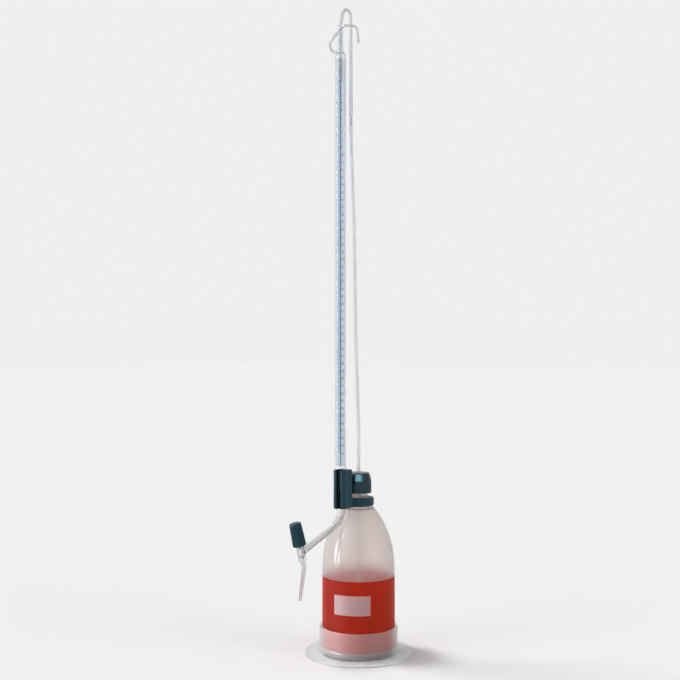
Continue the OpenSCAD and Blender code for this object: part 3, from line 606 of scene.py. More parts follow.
# %% Cap, seal and liner
CAP = rounded([
    (12.9, 206.6, 0.3), (16.6, 206.6, 0.5), (16.6, 222.6, 4), (13.8, 232.2, 1.8), (4.2, 232.2, 0.25),
    (4.2, 221.9), (12.9, 221.9, 0.6)], closed=True)
cap_moulding = turned(
    "cap_moulding", fine(CAP, 206.8, 222, 1), cap_plastic, segments=288, flutes=36, flute_edge=16.6 * MM,
    flute_radius=0.8 * MM, flute_depth=0.45 * MM, flute_top=220.4 * MM, flute_fade=0.8 * MM)
dress(cap_moulding, "screw_cap")
SEAL = rounded([
    (2.55, 218.4, 0.3), (8.8, 218.4, 0.4), (8.8, 221.85, 0.3), (4.15, 221.85, 0.2), (4.15, 233.4, 0.4),
    (3.35, 234, 0.3), (2.55, 234, 0.2)], closed=True)
dress(turned("seal_plug", SEAL, seal_rubber, segments=64), "cap_seal")
LINER = rounded([
    (8.9, 220.45, 0.3), (12.6, 220.45, 0.3), (12.6, 221.85, 0.3), (8.9, 221.85, 0.3)], closed=True)
dress(turned("liner_ring", LINER, liner_foam, segments=96), "cap_liner")

# %% [markdown]
# The holder is one moulding: a collar round the bottle's neck, a short bridge, and a tall clip whose two
# lips snap over the glass. The clip's mouth is turned a little to one side. The clip is one outline carried
# upwards with softened rims, the collar is turned, and Boolean union joins them, because a union gives one
# closed skin as the real moulding has.

# %% Outline of the clip
GRIP, CLIP_OUTSIDE, CLIP_HALF, CLIP_BACK, CLIP_CORNER = 7.1, 8.9, 8.6, 13.0, 1.2
LIP, LIP_SPOT = 1.6, Vector((-7.159, 4.2))
MOUTH_TURN = 20
flat_turn = math.degrees(math.asin(CLIP_HALF / CLIP_OUTSIDE))


def lip_meets(radius):
    """Angle at the burette's axis between the lip's middle and where its circle meets another circle."""
    far = LIP_SPOT.length
    return math.degrees(math.acos((far ** 2 + radius ** 2 - LIP ** 2) / (2 * far * radius)))


def half_clip(turn):
    """Half of the outline, from the grip round one lip to the block's back. The lip is turned by an angle."""
    lip = Matrix.Rotation(math.radians(turn), 2) @ LIP_SPOT
    lip_turn = math.degrees(math.atan2(lip.y, lip.x))
    outside_turn, inside_turn = lip_turn - lip_meets(CLIP_OUTSIDE), lip_turn + lip_meets(GRIP)
    on_outside = Vector(arc((0, 0), CLIP_OUTSIDE, outside_turn, outside_turn, 0)[0]) - lip
    on_grip = Vector(arc((0, 0), GRIP, inside_turn, inside_turn, 0)[0]) - lip
    lip_from = math.degrees(math.atan2(on_outside.y, on_outside.x)) % 360
    lip_to = math.degrees(math.atan2(on_grip.y, on_grip.x)) % 360
    corner = (CLIP_BACK - CLIP_CORNER, CLIP_HALF - CLIP_CORNER)
    return (arc((0, 0), GRIP, 0, inside_turn, 30)[:-1] + arc(lip, LIP, lip_to, lip_from, 20)[:-1]
            + arc((0, 0), CLIP_OUTSIDE, outside_turn, flat_turn, 14)
            + [(x, CLIP_HALF) for x in steps(4, corner[0], 2)]
            + arc(corner, CLIP_CORNER, 75, 0, 5) + [(CLIP_BACK, 4)])


upper, lower = half_clip(MOUTH_TURN), half_clip(-MOUTH_TURN)
clip_line = [Vector(p) for p in upper] + [Vector((x, -y)) for x, y in reversed(lower[1:])]
print("clip outline:", len(clip_line), "points")


# %% Holder
def inset(line, depth):
    """The outline moved into the plastic by depth."""
    made = []
    for i, spot in enumerate(line):
        along = (line[(i + 1) % len(line)] - line[i - 1]).normalized()
        made.append(spot + depth * Vector((along.y, -along.x)))
    return made


def carried_up(name, line, low, high, soft):
    """A block with the outline's plan and rims softened by a quarter round."""
    rims = [(soft * (1 - math.sin(t)), soft * (1 - math.cos(t))) for t in np.radians([0, 30, 60, 90])]
    layers = [(depth, low + lift) for depth, lift in rims]
    layers += [(depth, high - lift) for depth, lift in reversed(rims)]
    vertices, count = [], len(line)
    for depth, z in layers:
        vertices += [(p.x * MM, p.y * MM, z * MM) for p in inset(line, depth)]
    faces = [list(range(count))[::-1], list(range(len(vertices) - count, len(vertices)))]
    for j in range(len(layers) - 1):
        for i in range(count):
            k = (i + 1) % count
            faces.append([j * count + i, j * count + k, (j + 1) * count + k, (j + 1) * count + i])
    mesh = bpy.data.meshes.new(name)
    mesh.from_pydata(vertices, [], faces)
    mesh.materials.append(holder_plastic)
    clean(mesh)
    return new_object(name, mesh)


BURETTE_X = -36.0
HOLDER_LOW, COLLAR_HIGH, CLIP_HIGH = 190.3, 200.7, 238.8
at_burette = Matrix.Translation((BURETTE_X * MM, 0, 0))
clip = carried_up("clip", clip_line, HOLDER_LOW, CLIP_HIGH, 0.6)
clip.data.transform(at_burette)
bridge_line = [Vector(p) for p in [(-24.5, -7.2), (-13.5, -7.2), (-13.5, 7.2), (-24.5, 7.2)]]
bridge = carried_up("bridge", bridge_line, HOLDER_LOW, COLLAR_HIGH, 0.7)
COLLAR = rounded([
    (12.4, HOLDER_LOW, 0.4), (19.8, HOLDER_LOW, 1.8), (19.8, COLLAR_HIGH, 1.8), (12.4, COLLAR_HIGH, 0.4)],
    closed=True)
holder_moulding = turned("holder_moulding", COLLAR, holder_plastic, segments=120)
for part in (bridge, clip):
    join = holder_moulding.modifiers.new("join", "BOOLEAN")
    join.operation = "UNION"
    join.object = part
    settle(holder_moulding)
    bpy.data.objects.remove(part)
clean(holder_moulding.data, 38)
dress(holder_moulding, "burette_holder")

# %% [markdown]
# The bent pieces are drawn tubes: riser, gooseneck, vent, side arm and jet. Each follows a path and has its
# own outer radius and bore at every point, so a taper or a drawn tip is only a list of radii. This tree
# sweeps two circles along the path, turns the inner one inside out and joins them at the ends.

# %% Geometry tree: draw a tube along a path
tube_tree, given, out = geometry_tree("draw a tube", [("Sides", "Int", 32)])
path = put(tube_tree, "GeometryNodeMeshToCurve", ("Mesh", given["Geometry"]))
ring = put(tube_tree, "GeometryNodeCurvePrimitiveCircle", ("Resolution", given["Sides"]), ("Radius", 1.0))
swept = []
for label in ("outer", "bore"):
    size = add(tube_tree, "GeometryNodeInputNamedAttribute", ("Name", label), data_type="FLOAT")
    swept.append(put(tube_tree, "GeometryNodeCurveToMesh", ("Curve", path), ("Profile Curve", ring),
                     ("Scale", size.outputs["Attribute"])))
swept[1] = put(tube_tree, "GeometryNodeFlipFaces", ("Mesh", swept[1]))
both = add(tube_tree, "GeometryNodeJoinGeometry")
for wall in swept:
    tube_tree.links.new(wall, both.inputs[0])
closed = put(tube_tree, "GeometryNodeMergeByDistance", ("Geometry", both.outputs[0]), ("Distance", WELD))
end_tree(tube_tree, given, out, closed)
print("tree:", tube_tree.name, len(tube_tree.nodes), "nodes")


# %% Paths
def legs_path(legs):
    """Points of a tube that starts at the origin going down, as legs of (length, bend radius, angle)."""
    spot, heading, points = Vector((0, 0)), 0.0, [Vector((0, 0))]
    for length, bend, angle in legs:
        spot = spot + length * Vector((math.sin(heading), -math.cos(heading)))
        points.append(spot)
        if angle:
            side = math.copysign(bend, angle)
            centre = spot + side * Vector((math.cos(heading), math.sin(heading)))
            parts = max(6, math.ceil(abs(angle) / 6))
            for k in range(1, parts + 1):
                turn = heading + math.radians(angle) * k / parts
                points.append(centre - side * Vector((math.cos(turn), math.sin(turn))))
            heading += math.radians(angle)
            spot = points[-1]
    return [Vector((p.x, 0, p.y)) for p in points]


def corners_path(corners):
    """Points of a tube through corners (x, y, z, bend radius)."""
    spots = [Vector(c[:3]) for c in corners]
    points = [spots[0]]
    for i in range(1, len(spots) - 1):
        inward = (spots[i] - spots[i - 1]).normalized()
        onward = (spots[i + 1] - spots[i]).normalized()
        turn, bend = inward.angle(onward), corners[i][3]
        side = (onward - onward.dot(inward) * inward).normalized()
        first = spots[i] - inward * bend * math.tan(turn / 2)
        parts = max(6, math.ceil(math.degrees(turn) / 6))
        for k in range(parts + 1):
            t = turn * k / parts
            points.append(first + bend * (math.sin(t) * inward + (1 - math.cos(t)) * side))
    return points + [spots[-1]]


def path_length(path):
    """Length of a path from end to end."""
    return sum((b - a).length for a, b in zip(path, path[1:]))


# %% Tubes
FLAT_END = 0.02
ROUND_END = np.radians([0, 18, 36, 54, 72, 90])


def drawn_tube(name, path, outer, bore, ends, material, place=Matrix(), sides=32):
    """A tube along a path in mm. outer and bore are lists of (distance along, radius), or one radius.
    An end is round where it was polished in a flame, or flat where it meets another tube."""
    path = np.array([tuple(p) for p in path])
    run = np.r_[0, np.cumsum(np.linalg.norm(np.diff(path, axis=0), axis=1))]
    outer = outer if isinstance(outer, list) else [(0, outer)]
    bore = bore if isinstance(bore, list) else [(0, bore)]
    stations = set(run) | {s for s, _ in outer + bore if 0 < s < run[-1]}
    for kind, at, way in ((ends[0], 0, 1), (ends[1], run[-1], -1)):
        half = (np.interp(at, *zip(*outer)) - np.interp(at, *zip(*bore))) / 2
        lips = [half * (1 - math.cos(t)) for t in ROUND_END] if kind == "round" else [0, FLAT_END]
        stations = {s for s in stations if way * (s - at) > lips[-1] + 0.05} | {at + way * s for s in lips}
    stations = np.array(sorted(stations))
    wide, narrow = np.interp(stations, *zip(*outer)), np.interp(stations, *zip(*bore))
    for kind, away in ((ends[0], stations), (ends[1], run[-1] - stations)):
        half, middle = (wide - narrow) / 2, (wide + narrow) / 2
        if kind == "round":
            lean = np.clip(away / np.maximum(half, 1e-9), 0, 1)
            bulge = half * np.sqrt(1 - (1 - lean) ** 2)
        else:
            bulge = half * np.clip(away / FLAT_END, 0, 1)
        wide, narrow = middle + bulge, middle - bulge
    spots = np.array([np.interp(stations, run, path[:, c]) for c in range(3)]).T * MM
    start = chain(name + " path", spots.tolist())
    for label, values in (("outer", wide), ("bore", narrow)):
        start.attributes.new(label, "FLOAT", "POINT").data.foreach_set("value", values * MM)
    piece = grow(name, tube_tree, start, material=material, sides=sides)
    piece.data.transform(place)
    clean(piece.data, 40)
    return piece


# %% [markdown]
# A thin plastic tube dips into the bottle and ends in the seal, and from there the riser climbs in a lazy
# curve to the glass head. Its slants and wide bends repeat the solid's own rule, so the two lie together:
# the route is drawn for a rise of 420 and a reach of 15.5, and its last slant and top take up what is left.

# %% Dip tube and riser
DIP_LOW, SEAL_MEET, RISER_TOP, RISER_LEAN, RISER_REACH = 13.1, 230.2, 688.8, 269.0, 15.5
dip_path = [Vector((0, 0, z)) for z in (DIP_LOW, 100, SEAL_MEET)]
dip_pipe = drawn_tube("dip_pipe", dip_path, 2.48, 1.73, ("round", "flat"), riser_plastic)
dress(dip_pipe, "dip_tube")
tall = (RISER_TOP - RISER_LEAN) / 420
slant = RISER_REACH / (15.5 * tall)


def riser_legs(last_slant, top):
    """Legs of the riser's route, with the lengths of its last slant and of its upright top."""
    return [(RISER_LEAN - SEAL_MEET, 900 * tall, 3 * slant), (65 * tall, 1200 * tall, -1.7 * slant),
            (110 * tall, 900 * tall, 1.9 * slant), (last_slant, 500 * tall, -3.2 * slant), (top, 0, 0)]


missing = RISER_REACH - legs_path(riser_legs(0, 0))[-1].x
last_slant = missing / math.sin(math.radians(3.2 * slant))
top = RISER_TOP - SEAL_MEET + legs_path(riser_legs(last_slant, 0))[-1].z
riser_path = [Vector((-p.x, 0, SEAL_MEET - p.z)) for p in legs_path(riser_legs(last_slant, top))]
riser_pipe = drawn_tube("riser_pipe", riser_path, 2.5, 1.75, ("flat", "round"), riser_plastic)
dress(riser_pipe, "riser_tube")

# %% [markdown]
# The burette itself is a long glass tube with an even bore, drawn in below the clip and again at the head.
# It is turned like the others. A white enamel stripe with a blue line runs up its back, so the level of a
# clear liquid can be read against it.

# %% Burette glass
TUBE = rounded([
    (4, 179.3), (5.5, 183.3, 3), (5.5, 188.3, 6), (7, 197.3, 8), (7, 761.8, 2.5), (6.2, 764.3, 1.5),
    (4.1, 766.8, 2), (4.1, 799.3, 0.8), (3.1, 800.8, 0.2), (2.25, 800.8, 0.15), (2.25, 799), (2.9, 798.3),
    (2.9, 766, 1), (5.025, 763.8, 1), (5.825, 761.8, 1), (5.825, 197.3, 6), (4.3, 188.3, 5),
    (4.3, 183.3, 3), (2.8, 179.3)], closed=True, hold=1)
burette_glass = turned("burette_glass", TUBE, clear_glass, at_burette, segments=96)
dress(burette_glass, "burette_tube")

# %% Stripe
SCALE_FACES, STRIPE_HALF, LINE_HALF, LINE_GAP = 220, 65, 5, 0.2
STRIPE_INNER, COVER_INNER = 7.02, 7.13
stripe_heights = steps(242.8, 760.8, 12)
behind = SCALE_FACES - 180
cover_half = LINE_HALF + LINE_GAP
stripe_turns = steps(behind - STRIPE_HALF, behind - cover_half, 4)
stripe_turns += steps(behind + cover_half, behind + STRIPE_HALF, 4)
cover_turns = steps(behind - cover_half, behind + cover_half, 4)
line_turns = steps(behind - LINE_HALF, behind + LINE_HALF, 4)


def over_line(turn, height):
    """Whether a cell of the stripe lies over the line."""
    return abs(turn - behind) < LINE_HALF


def stripe_film(name, material, inner, thickness, turns, left_out=None):
    """A film along the whole stripe."""
    return film(name, material, BURETTE_X, inner, thickness, turns, stripe_heights, left_out)


stripe_white = stripe_film("stripe_white", milk_glass, STRIPE_INNER, 0.2, stripe_turns, over_line)
take_in(stripe_white, stripe_film("stripe_cover", milk_glass, COVER_INNER, 0.09, cover_turns))
dress(stripe_white, "stripe_backing")
stripe_blue = stripe_film("stripe_blue", blue_line, STRIPE_INNER, 0.1, line_turns)
dress(stripe_blue, "stripe_line")

# %% [markdown]
# At the head the gooseneck carries the liquid over into the tube, down to a drawn tip that stands at the
# zero line. A thinner vent tube leaves the head's side, winds round its neck and hooks down. Its first end is
# fused to the neck, so points that fall inside the neck are drawn back to its surface along the tube.

# %% Gooseneck
GOOSE_BEND_Z, GOOSE_LEG, GOOSE_SPAN, ZERO_Z = 815.3, 138.5, 20.5, 729.8
GOOSE_BEND, GOOSE_SMALL_BEND, GOOSE_SLANT, GOOSE_TIP = 8.2, 6, 16, 12
GOOSE_RADIUS, GOOSE_DRAWN = 2.2, 1.7
sine, cosine = math.sin(math.radians(GOOSE_SLANT)), math.cos(math.radians(GOOSE_SLANT))
goose_across = GOOSE_SPAN - GOOSE_BEND - GOOSE_BEND * cosine
slant_length = (goose_across - GOOSE_SMALL_BEND * (1 - cosine)) / sine
inner_z = GOOSE_BEND_Z + (GOOSE_BEND - GOOSE_SMALL_BEND) * sine - slant_length * cosine
goose_legs = [(GOOSE_LEG, GOOSE_BEND, 180 - GOOSE_SLANT), (slant_length, GOOSE_SMALL_BEND, GOOSE_SLANT),
              (inner_z - ZERO_Z, 0, 0)]
goose_path = [Vector((GOOSE_SPAN - p.x, 0, GOOSE_BEND_Z - GOOSE_LEG - p.z)) for p in legs_path(goose_legs)]
goose_run = path_length(goose_path)
goose_sizes = [(0, GOOSE_DRAWN), (11.6, GOOSE_DRAWN), (12.4, GOOSE_RADIUS),
               (goose_run - GOOSE_TIP, GOOSE_RADIUS), (goose_run, GOOSE_DRAWN)]
gooseneck_glass = drawn_tube(
    "gooseneck_glass", goose_path, goose_sizes, 1.18, ("round", "round"), thin_glass, at_burette)
dress(gooseneck_glass, "gooseneck")


# %% Vent
def fit_to_rod(piece, place, radius, along):
    """Draws points inside a rod, about the Z axis of a frame, back to its surface along a direction."""
    to_rod, back = place.inverted(), (place.inverted().to_3x3() @ along).normalized()
    for vertex in piece.data.vertices:
        spot = to_rod @ vertex.co
        gap = spot.x ** 2 + spot.y ** 2 - (radius * MM) ** 2
        if gap < 0:
            a, b = back.x ** 2 + back.y ** 2, spot.x * back.x + spot.y * back.y
            spot = spot + back * (-b + math.sqrt(b * b - a * gap)) / a
            vertex.co = place @ spot
    piece.data.update()


HEAD_Z, VENT_TURN = 766.8, math.radians(310)
VENT_ROUTE = [(-2, 1, 1.5, 0), (-11, 4, 0.8, 5), (-13.8, -1, 10, 6), (-8.5, -7, 17, 6), (4, -8.6, 31.7, 7),
              (21, -5.8, 31.7, 7), (22.6, -5, 11.2, 0)]
at_vent = Matrix.Translation((BURETTE_X * MM, 0, HEAD_Z * MM)) @ Matrix.Rotation(VENT_TURN, 4, "Z")
vent_glass = drawn_tube(
    "vent_glass", corners_path(VENT_ROUTE), 1.75, 0.9, ("flat", "round"), thin_glass, at_vent, 24)
vent_way = at_vent.to_3x3() @ (Vector(VENT_ROUTE[1][:3]) - Vector(VENT_ROUTE[0][:3]))
fit_to_rod(vent_glass, at_vent, 4.12, vent_way)
dress(vent_glass, "vent_tube")

# %% [markdown]
# Below the clip the glass bends into a side arm that slopes down to the needle valve. The arm ends in a
# saddle on the valve's barrel. From the barrel's lower end the jet bends and tapers to a fine tip.

# %% Side arm
ARM_TURN, ARM_REACH, ARM_FALL, ARM_BEND, ELBOW_Z = 153, 53.3, 34, 9, 179.3
VALVE_Z, VALVE_LEAN = 137.563, 12.6
arm_slope = math.radians(ARM_FALL)
at_arm = at_burette @ Matrix.Rotation(math.radians(ARM_TURN), 4, "Z")
at_valve = (at_arm @ Matrix.Translation((ARM_REACH * MM, 0, VALVE_Z * MM))
            @ Matrix.Rotation(math.radians(VALVE_LEAN), 4, "Y"))
elbow_turn = 90 - ARM_FALL
straight = ARM_REACH / math.cos(arm_slope) - ARM_BEND * math.tan(math.radians(elbow_turn / 2))
arm_path = [p + Vector((0, 0, ELBOW_Z)) for p in legs_path([(1, ARM_BEND, elbow_turn), (straight, 0, 0)])]
arm_glass = drawn_tube("arm_glass", arm_path, 4, 2.8, ("flat", "flat"), thin_glass, at_arm)
arm_way = at_arm.to_3x3() @ Vector((-math.cos(arm_slope), 0, math.sin(arm_slope)))
fit_to_rod(arm_glass, at_valve, 5.22, arm_way)
dress(arm_glass, "side_arm")

# %% Barrel and jet
BARREL = rounded([
    (2.9, -13), (5.2, -9, 2), (5.2, 24, 0.6), (3.4, 24, 0.4), (3.4, -3, 1), (0.8, -7.5, 0.3), (0.7, -8.5),
    (0.7, -13)], closed=True)
barrel_glass = turned(
    "barrel_glass", fine(BARREL, 11, 24, 0.15), thin_glass, at_valve, segments=72, thread_root=5 * MM,
    thread_depth=0.6 * MM, thread_pitch=1.5 * MM, thread_low=13 * MM, thread_high=22.5 * MM)
dress(barrel_glass, "valve_barrel")
JET_TOP, JET_TAPER = -13, 36
jet_path = [p + Vector((0, 0, JET_TOP)) for p in legs_path([(3, 18, 20.5), (38, 0, 0)])]
jet_run = path_length(jet_path)
jet_sizes = [(0, 2.9), (jet_run - JET_TAPER, 2.86), (jet_run, 1.9)]
jet_glass = drawn_tube("jet_glass", jet_path, jet_sizes, 0.7, ("flat", "round"), thin_glass, at_valve)
dress(jet_glass, "jet_tip")

# %% [markdown]
# Inside the barrel a white plastic needle lifts off its seat as the knob turns. Two rubber rings seal it.
# The knob snaps over the needle's head, screws on the glass thread, and has twelve finger flutes.

# %% Needle and rings
SPINDLE = rounded([
    (0, -8.6), (0.35, -8.6, 0.1), (0.65, -7.5), (2.2, -4.8, 0.5), (2.2, 5, 0.5), (3.35, 6.5, 0.5),
    (3.35, 8.6), (2.3, 8.6), (2.3, 10.4), (3.35, 10.4), (3.35, 14.1), (2.3, 14.1), (2.3, 15.9),
    (3.35, 15.9), (3.35, 29), (4.1, 29.1, 0.1), (4.1, 31.2, 0.4), (3.35, 32, 0.3), (0, 32)])
spindle_needle = turned("spindle_needle", SPINDLE, spindle_plastic, at_valve, segments=48)
dress(spindle_needle, "valve_spindle")
RING_GAP = Vector((0, 5.5))
RING = [Vector(p) for p in arc((2.85, 9.5), 0.53, -90, 270, 20)]
spindle_rings = turned("spindle_rings", RING, ring_rubber, at_valve, segments=48)
take_in(spindle_rings, turned("upper_ring", [p + RING_GAP for p in RING], ring_rubber, at_valve, segments=48))
dress(spindle_rings, "spindle_o_rings")

# %% Knob
KNOB = rounded([
    (0, 32.2), (4.3, 32.2), (4.3, 28.9), (3.47, 28.9), (3.47, 27), (6, 27, 0.4), (6, 9.4, 0.2),
    (8.6, 9.4, 0.9), (7.5, 38.9, 2.3), (0, 38.9)])
KNOB_LOW, KNOB_HIGH = (8.6, 10.4), (7.6, 36.5)
knob_lean = (KNOB_LOW[0] - KNOB_HIGH[0]) / (KNOB_HIGH[1] - KNOB_LOW[1])
knob_grip = turned(
    "knob_grip", fine(KNOB, 9.5, 38, 1), knob_plastic, at_valve, segments=216, flutes=12,
    flute_edge=(KNOB_LOW[0] + knob_lean * KNOB_LOW[1]) * MM, flute_lean=knob_lean, flute_radius=1.6 * MM,
    flute_depth=0.8 * MM, flute_top=33.9 * MM, flute_fade=1.6 * MM)
dress(knob_grip, "valve_knob")

# %% [markdown]
# The scale is printed on the front of the tube: a line for every tenth of a millilitre, longer at halves
# and wholes, and a number at every millilitre. The lines and numbers are laid out flat first, and then one
# shared group wraps them round the glass, a hair above it.

# %% Geometry group: wrap flat print round the glass
wrap_tree, given, out = new_tree(
    "wrap round the glass", "GeometryNodeTree",
    [("Geometry", "Geometry", None), ("Radius", "Float", 7.02 * MM),
     ("Turn", "Float", math.radians(SCALE_FACES)), ("Axis X", "Float", BURETTE_X * MM)],
    [("Geometry", "Geometry")])
do = partial(calc, wrap_tree)
flat = add(wrap_tree, "ShaderNodeSeparateXYZ", (0, put(wrap_tree, "GeometryNodeInputPosition"))).outputs
angle = do("ADD", given["Turn"], do("DIVIDE", flat["X"], given["Radius"]))
far = do("ADD", given["Radius"], flat["Z"])
east = do("MULTIPLY_ADD", far, do("COSINE", angle), given["Axis X"])
north = do("MULTIPLY", far, do("SINE", angle))
bent = put(wrap_tree, "GeometryNodeSetPosition", ("Geometry", given["Geometry"]),
           ("Position", xyz(wrap_tree, east, north, flat["Y"])))
wrap_tree.links.new(bent, out.inputs["Geometry"])
print("group:", wrap_tree.name)

# %% Geometry tree: rule the lines
lines_tree, given, out = geometry_tree("rule the lines", [
    ("Lines", "Int", 501), ("Spacing", "Float", 0.938 * MM), ("Zero Height", "Float", ZERO_Z * MM),
    ("Right End", "Float", -0.5 * MM), ("Short", "Float", 3.4 * MM), ("Half", "Float", 5 * MM),
    ("Long", "Float", 8 * MM), ("Stroke", "Float", 0.24 * MM), ("Film", "Float", 0.04 * MM)])
do = partial(calc, lines_tree)
first = xyz(lines_tree, given["Right End"], given["Zero Height"])
down = xyz(lines_tree, y=do("MULTIPLY", given["Spacing"], -1))
marks = put(lines_tree, "GeometryNodeMeshLine", ("Count", given["Lines"]), ("Start Location", first),
            ("Offset", down))
index = put(lines_tree, "GeometryNodeInputIndex")
is_half = do("LESS_THAN", whole(lines_tree, "MODULO", index, 5), 0.5)
is_whole = do("LESS_THAN", whole(lines_tree, "MODULO", index, 10), 0.5)
length = do("MULTIPLY_ADD", is_half, do("SUBTRACT", given["Half"], given["Short"]), given["Short"])
length = do("MULTIPLY_ADD", is_whole, do("SUBTRACT", given["Long"], given["Half"]), length)
stroke = put(lines_tree, "GeometryNodeMeshCube", ("Vertices X", 7))
stroke = put(lines_tree, "GeometryNodeTransform", ("Geometry", stroke), ("Translation", (-0.5, 0, 0.5)))
placed = put(lines_tree, "GeometryNodeInstanceOnPoints", ("Points", marks), ("Instance", stroke),
             ("Scale", xyz(lines_tree, length, given["Stroke"], given["Film"])))
real = put(lines_tree, "GeometryNodeRealizeInstances", ("Geometry", placed))
bent = put(lines_tree, "GeometryNodeGroup", ("Geometry", real), node_tree=wrap_tree)
end_tree(lines_tree, given, out, bent)
print("tree:", lines_tree.name, len(lines_tree.nodes), "nodes")

# %% Geometry tree: print the numbers
numbers_tree, given, out = geometry_tree("print the numbers", [
    ("Numbers", "Int", 51), ("Spacing", "Float", 9.38 * MM), ("Zero Height", "Float", ZERO_Z * MM),
    ("Left Edge", "Float", -0.2 * MM), ("Size", "Float", 4.8 * MM), ("Film", "Float", 0.04 * MM)])
do = partial(calc, numbers_tree)
marks = put(numbers_tree, "GeometryNodeMeshLine", ("Count", given["Numbers"]))
each = add(numbers_tree, "GeometryNodeForeachGeometryElementInput")
gathered = add(numbers_tree, "GeometryNodeForeachGeometryElementOutput")
each.pair_with_output(gathered)
numbers_tree.links.new(marks, each.inputs["Geometry"])
value = put(numbers_tree, "FunctionNodeValueToString", ("Value", each.outputs["Index"]), data_type="INT")
written = add(numbers_tree, "GeometryNodeStringToCurves", ("String", value), ("Size", given["Size"]))
written = put(numbers_tree, "GeometryNodeRealizeInstances", ("Geometry", written.outputs["Curve Instances"]))
drop = do("MULTIPLY", each.outputs["Index"], given["Spacing"])
half_tall = do("MULTIPLY", given["Size"], 0.35)
level = do("SUBTRACT", do("SUBTRACT", given["Zero Height"], drop), half_tall)
moved = put(numbers_tree, "GeometryNodeTransform", ("Geometry", written),
            ("Translation", xyz(numbers_tree, given["Left Edge"], level)))
numbers_tree.links.new(moved, gathered.inputs["Geometry"])
curves = put(numbers_tree, "GeometryNodeSetSplineResolution", ("Geometry", gathered.outputs[2]),
             ("Resolution", 3))
faces = put(numbers_tree, "GeometryNodeFillCurve", ("Curve", curves))
faces = put(numbers_tree, "GeometryNodeSubdivideMesh", ("Mesh", faces), ("Level", 1))
raised = put(numbers_tree, "GeometryNodeExtrudeMesh", ("Mesh", faces), ("Offset Scale", given["Film"]),
             ("Individual", False))
under = put(numbers_tree, "GeometryNodeFlipFaces", ("Mesh", faces))
both = add(numbers_tree, "GeometryNodeJoinGeometry")
for side in (raised, under):
    numbers_tree.links.new(side, both.inputs[0])
shut = put(numbers_tree, "GeometryNodeMergeByDistance", ("Geometry", both.outputs[0]), ("Distance", WELD))
bent = put(numbers_tree, "GeometryNodeGroup", ("Geometry", shut), node_tree=wrap_tree)
end_tree(numbers_tree, given, out, bent)
print("tree:", numbers_tree.name, len(numbers_tree.nodes), "nodes")

# %% Print on the tube
for name, tree in (("scale_lines", lines_tree), ("scale_numbers", numbers_tree)):
    piece = grow(name, tree, bpy.data.meshes.new("blank"), material=scale_print)
    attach(piece, "burette")
    print(f"{piece.name}: {len(piece.data.polygons)} faces")

# %% [markdown]
# The room is plain: a pale floor and a soft, even world. The eye meets the world at the backdrop's own pale
# grey, also in gloss and through glass, and every other ray meets a weaker ambient level. A soft key stands
# high on the left and a little behind, and two low fills light the sides without showing in gloss. On a
# level floor all of it adds up to about one, so a colour renders about as it is written.

# %% World, key and fills
BACKDROP = 0.863
AMBIENT = 0.42
world = bpy.data.worlds.new("studio")
world.use_nodes = True
scene.world = world
sky = world.node_tree
sky.nodes.clear()
rays = add(sky, "ShaderNodeLightPath").outputs
through = calc(sky, "MAXIMUM", rays["Is Camera Ray"], rays["Is Transmission Ray"])
looked_at = calc(sky, "MAXIMUM", through, rays["Is Glossy Ray"])
level = put(sky, "ShaderNodeMix", (0, looked_at), (2, AMBIENT), (3, BACKDROP), data_type="FLOAT")
shell = put(sky, "ShaderNodeBackground", ("Color", (1, 1, 1, 1)), ("Strength", level))
add(sky, "ShaderNodeOutputWorld", ("Surface", shell))
up = Vector((0, 0, 1))


def sun(name, to_right, to_camera, to_top, strength, angle):
    """A soft sun from a direction. Strength is what it gives to a white face square to it."""
    lamp = bpy.data.lights.new(name, "SUN")
    lamp.energy = strength * math.pi
    lamp.angle = math.radians(angle)
    made = bpy.data.objects.new(name, lamp)
    way = to_right * picture_right + to_camera * towards_camera + to_top * up
    made.rotation_euler = way.to_track_quat("Z", "Y").to_euler()
    scene.collection.objects.link(made)
    return made


sun("key", -0.4, -0.12, 0.909, 0.51, 12)
for to_right, strength in ((-0.858, 0.36), (0.858, 0.44)):
    sun("fill", to_right, 0.495, 0.139, strength, 40).visible_glossy = False
print("world, key and fills ready")


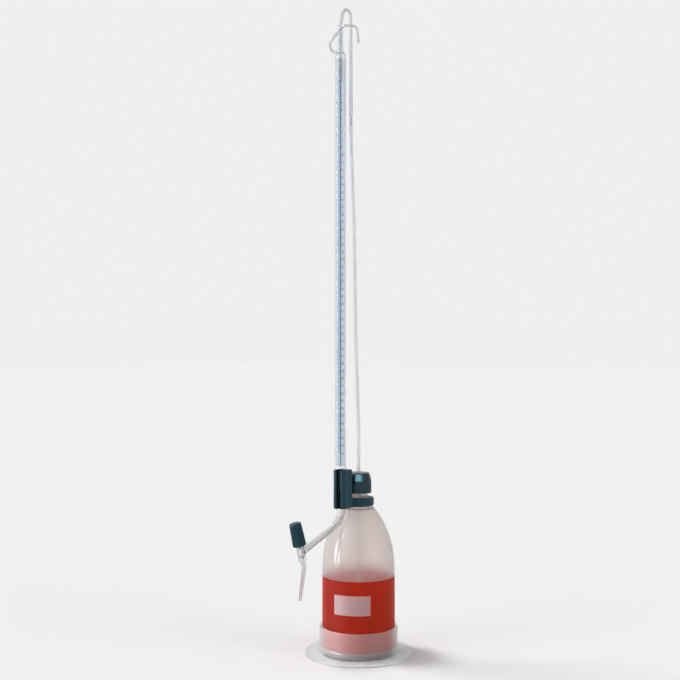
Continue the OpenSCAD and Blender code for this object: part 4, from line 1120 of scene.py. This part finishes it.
# %% [markdown]
# Two soft boxes show only in gloss, as a photographer's cards do. A tall strip far to the left draws the
# streak down the bottle and the tube. A small box close by draws the bright spot on the cap's crown, and
# light linking keeps it off the other pieces.

# %% Soft boxes
def soft_box(name, centre, away, turn, rise, size, radiance, colour):
    """A box that only shows in gloss. It stands away from a point, turned left of the camera and raised."""
    lamp = bpy.data.lights.new(name, "AREA")
    lamp.shape = "RECTANGLE"
    lamp.size, lamp.size_y = size
    lamp.energy = radiance * math.pi * size[0] * size[1]
    lamp.color = colour
    turn, rise = math.radians(turn), math.radians(rise)
    level = math.cos(turn) * towards_camera - math.sin(turn) * picture_right
    way = math.cos(rise) * level + math.sin(rise) * up
    made = bpy.data.objects.new(name, lamp)
    made.location = centre + away * way
    made.rotation_euler = way.to_track_quat("Z", "Y").to_euler()
    made.visible_camera = made.visible_diffuse = made.visible_transmission = False
    scene.collection.objects.link(made)
    return made


soft_box("strip box", 0.75 * up, 1.5, 74.5, 0, (0.5, 1.4), 40, (0.93, 0.97, 1.0))
cap_box = soft_box("cap box", 0.22 * up, 0.4, 15, 27, (0.7, 0.17), 18, (0.6, 0.9, 1.0))
flagged = bpy.data.collections.new("pieces that the cap box reaches")
flagged.objects.link(cap_moulding)
cap_box.light_linking.receiver_collection = flagged
print("soft boxes ready")

# %% [markdown]
# The floor is a large pale sheet a hair below the foot, without gloss, in the backdrop's own grey.

# %% Floor
FLOOR_HALF, FLOOR_Z = 12, -0.0002
floor_mesh = bpy.data.meshes.new("floor")
floor_corners = [(x * FLOOR_HALF, y * FLOOR_HALF, FLOOR_Z) for x, y in ((-1, -1), (1, -1), (1, 1), (-1, 1))]
floor_mesh.from_pydata(floor_corners, [], [(0, 1, 2, 3)])
floor = new_object("floor", floor_mesh)
floor_grey = (BACKDROP,) * 3
floor_mesh.materials.append(moulded(
    "floor", floor_grey, floor_grey, 1.0, dull=0, marks=0, bump=0, specular_ior_level=0.0))
print("floor ready")
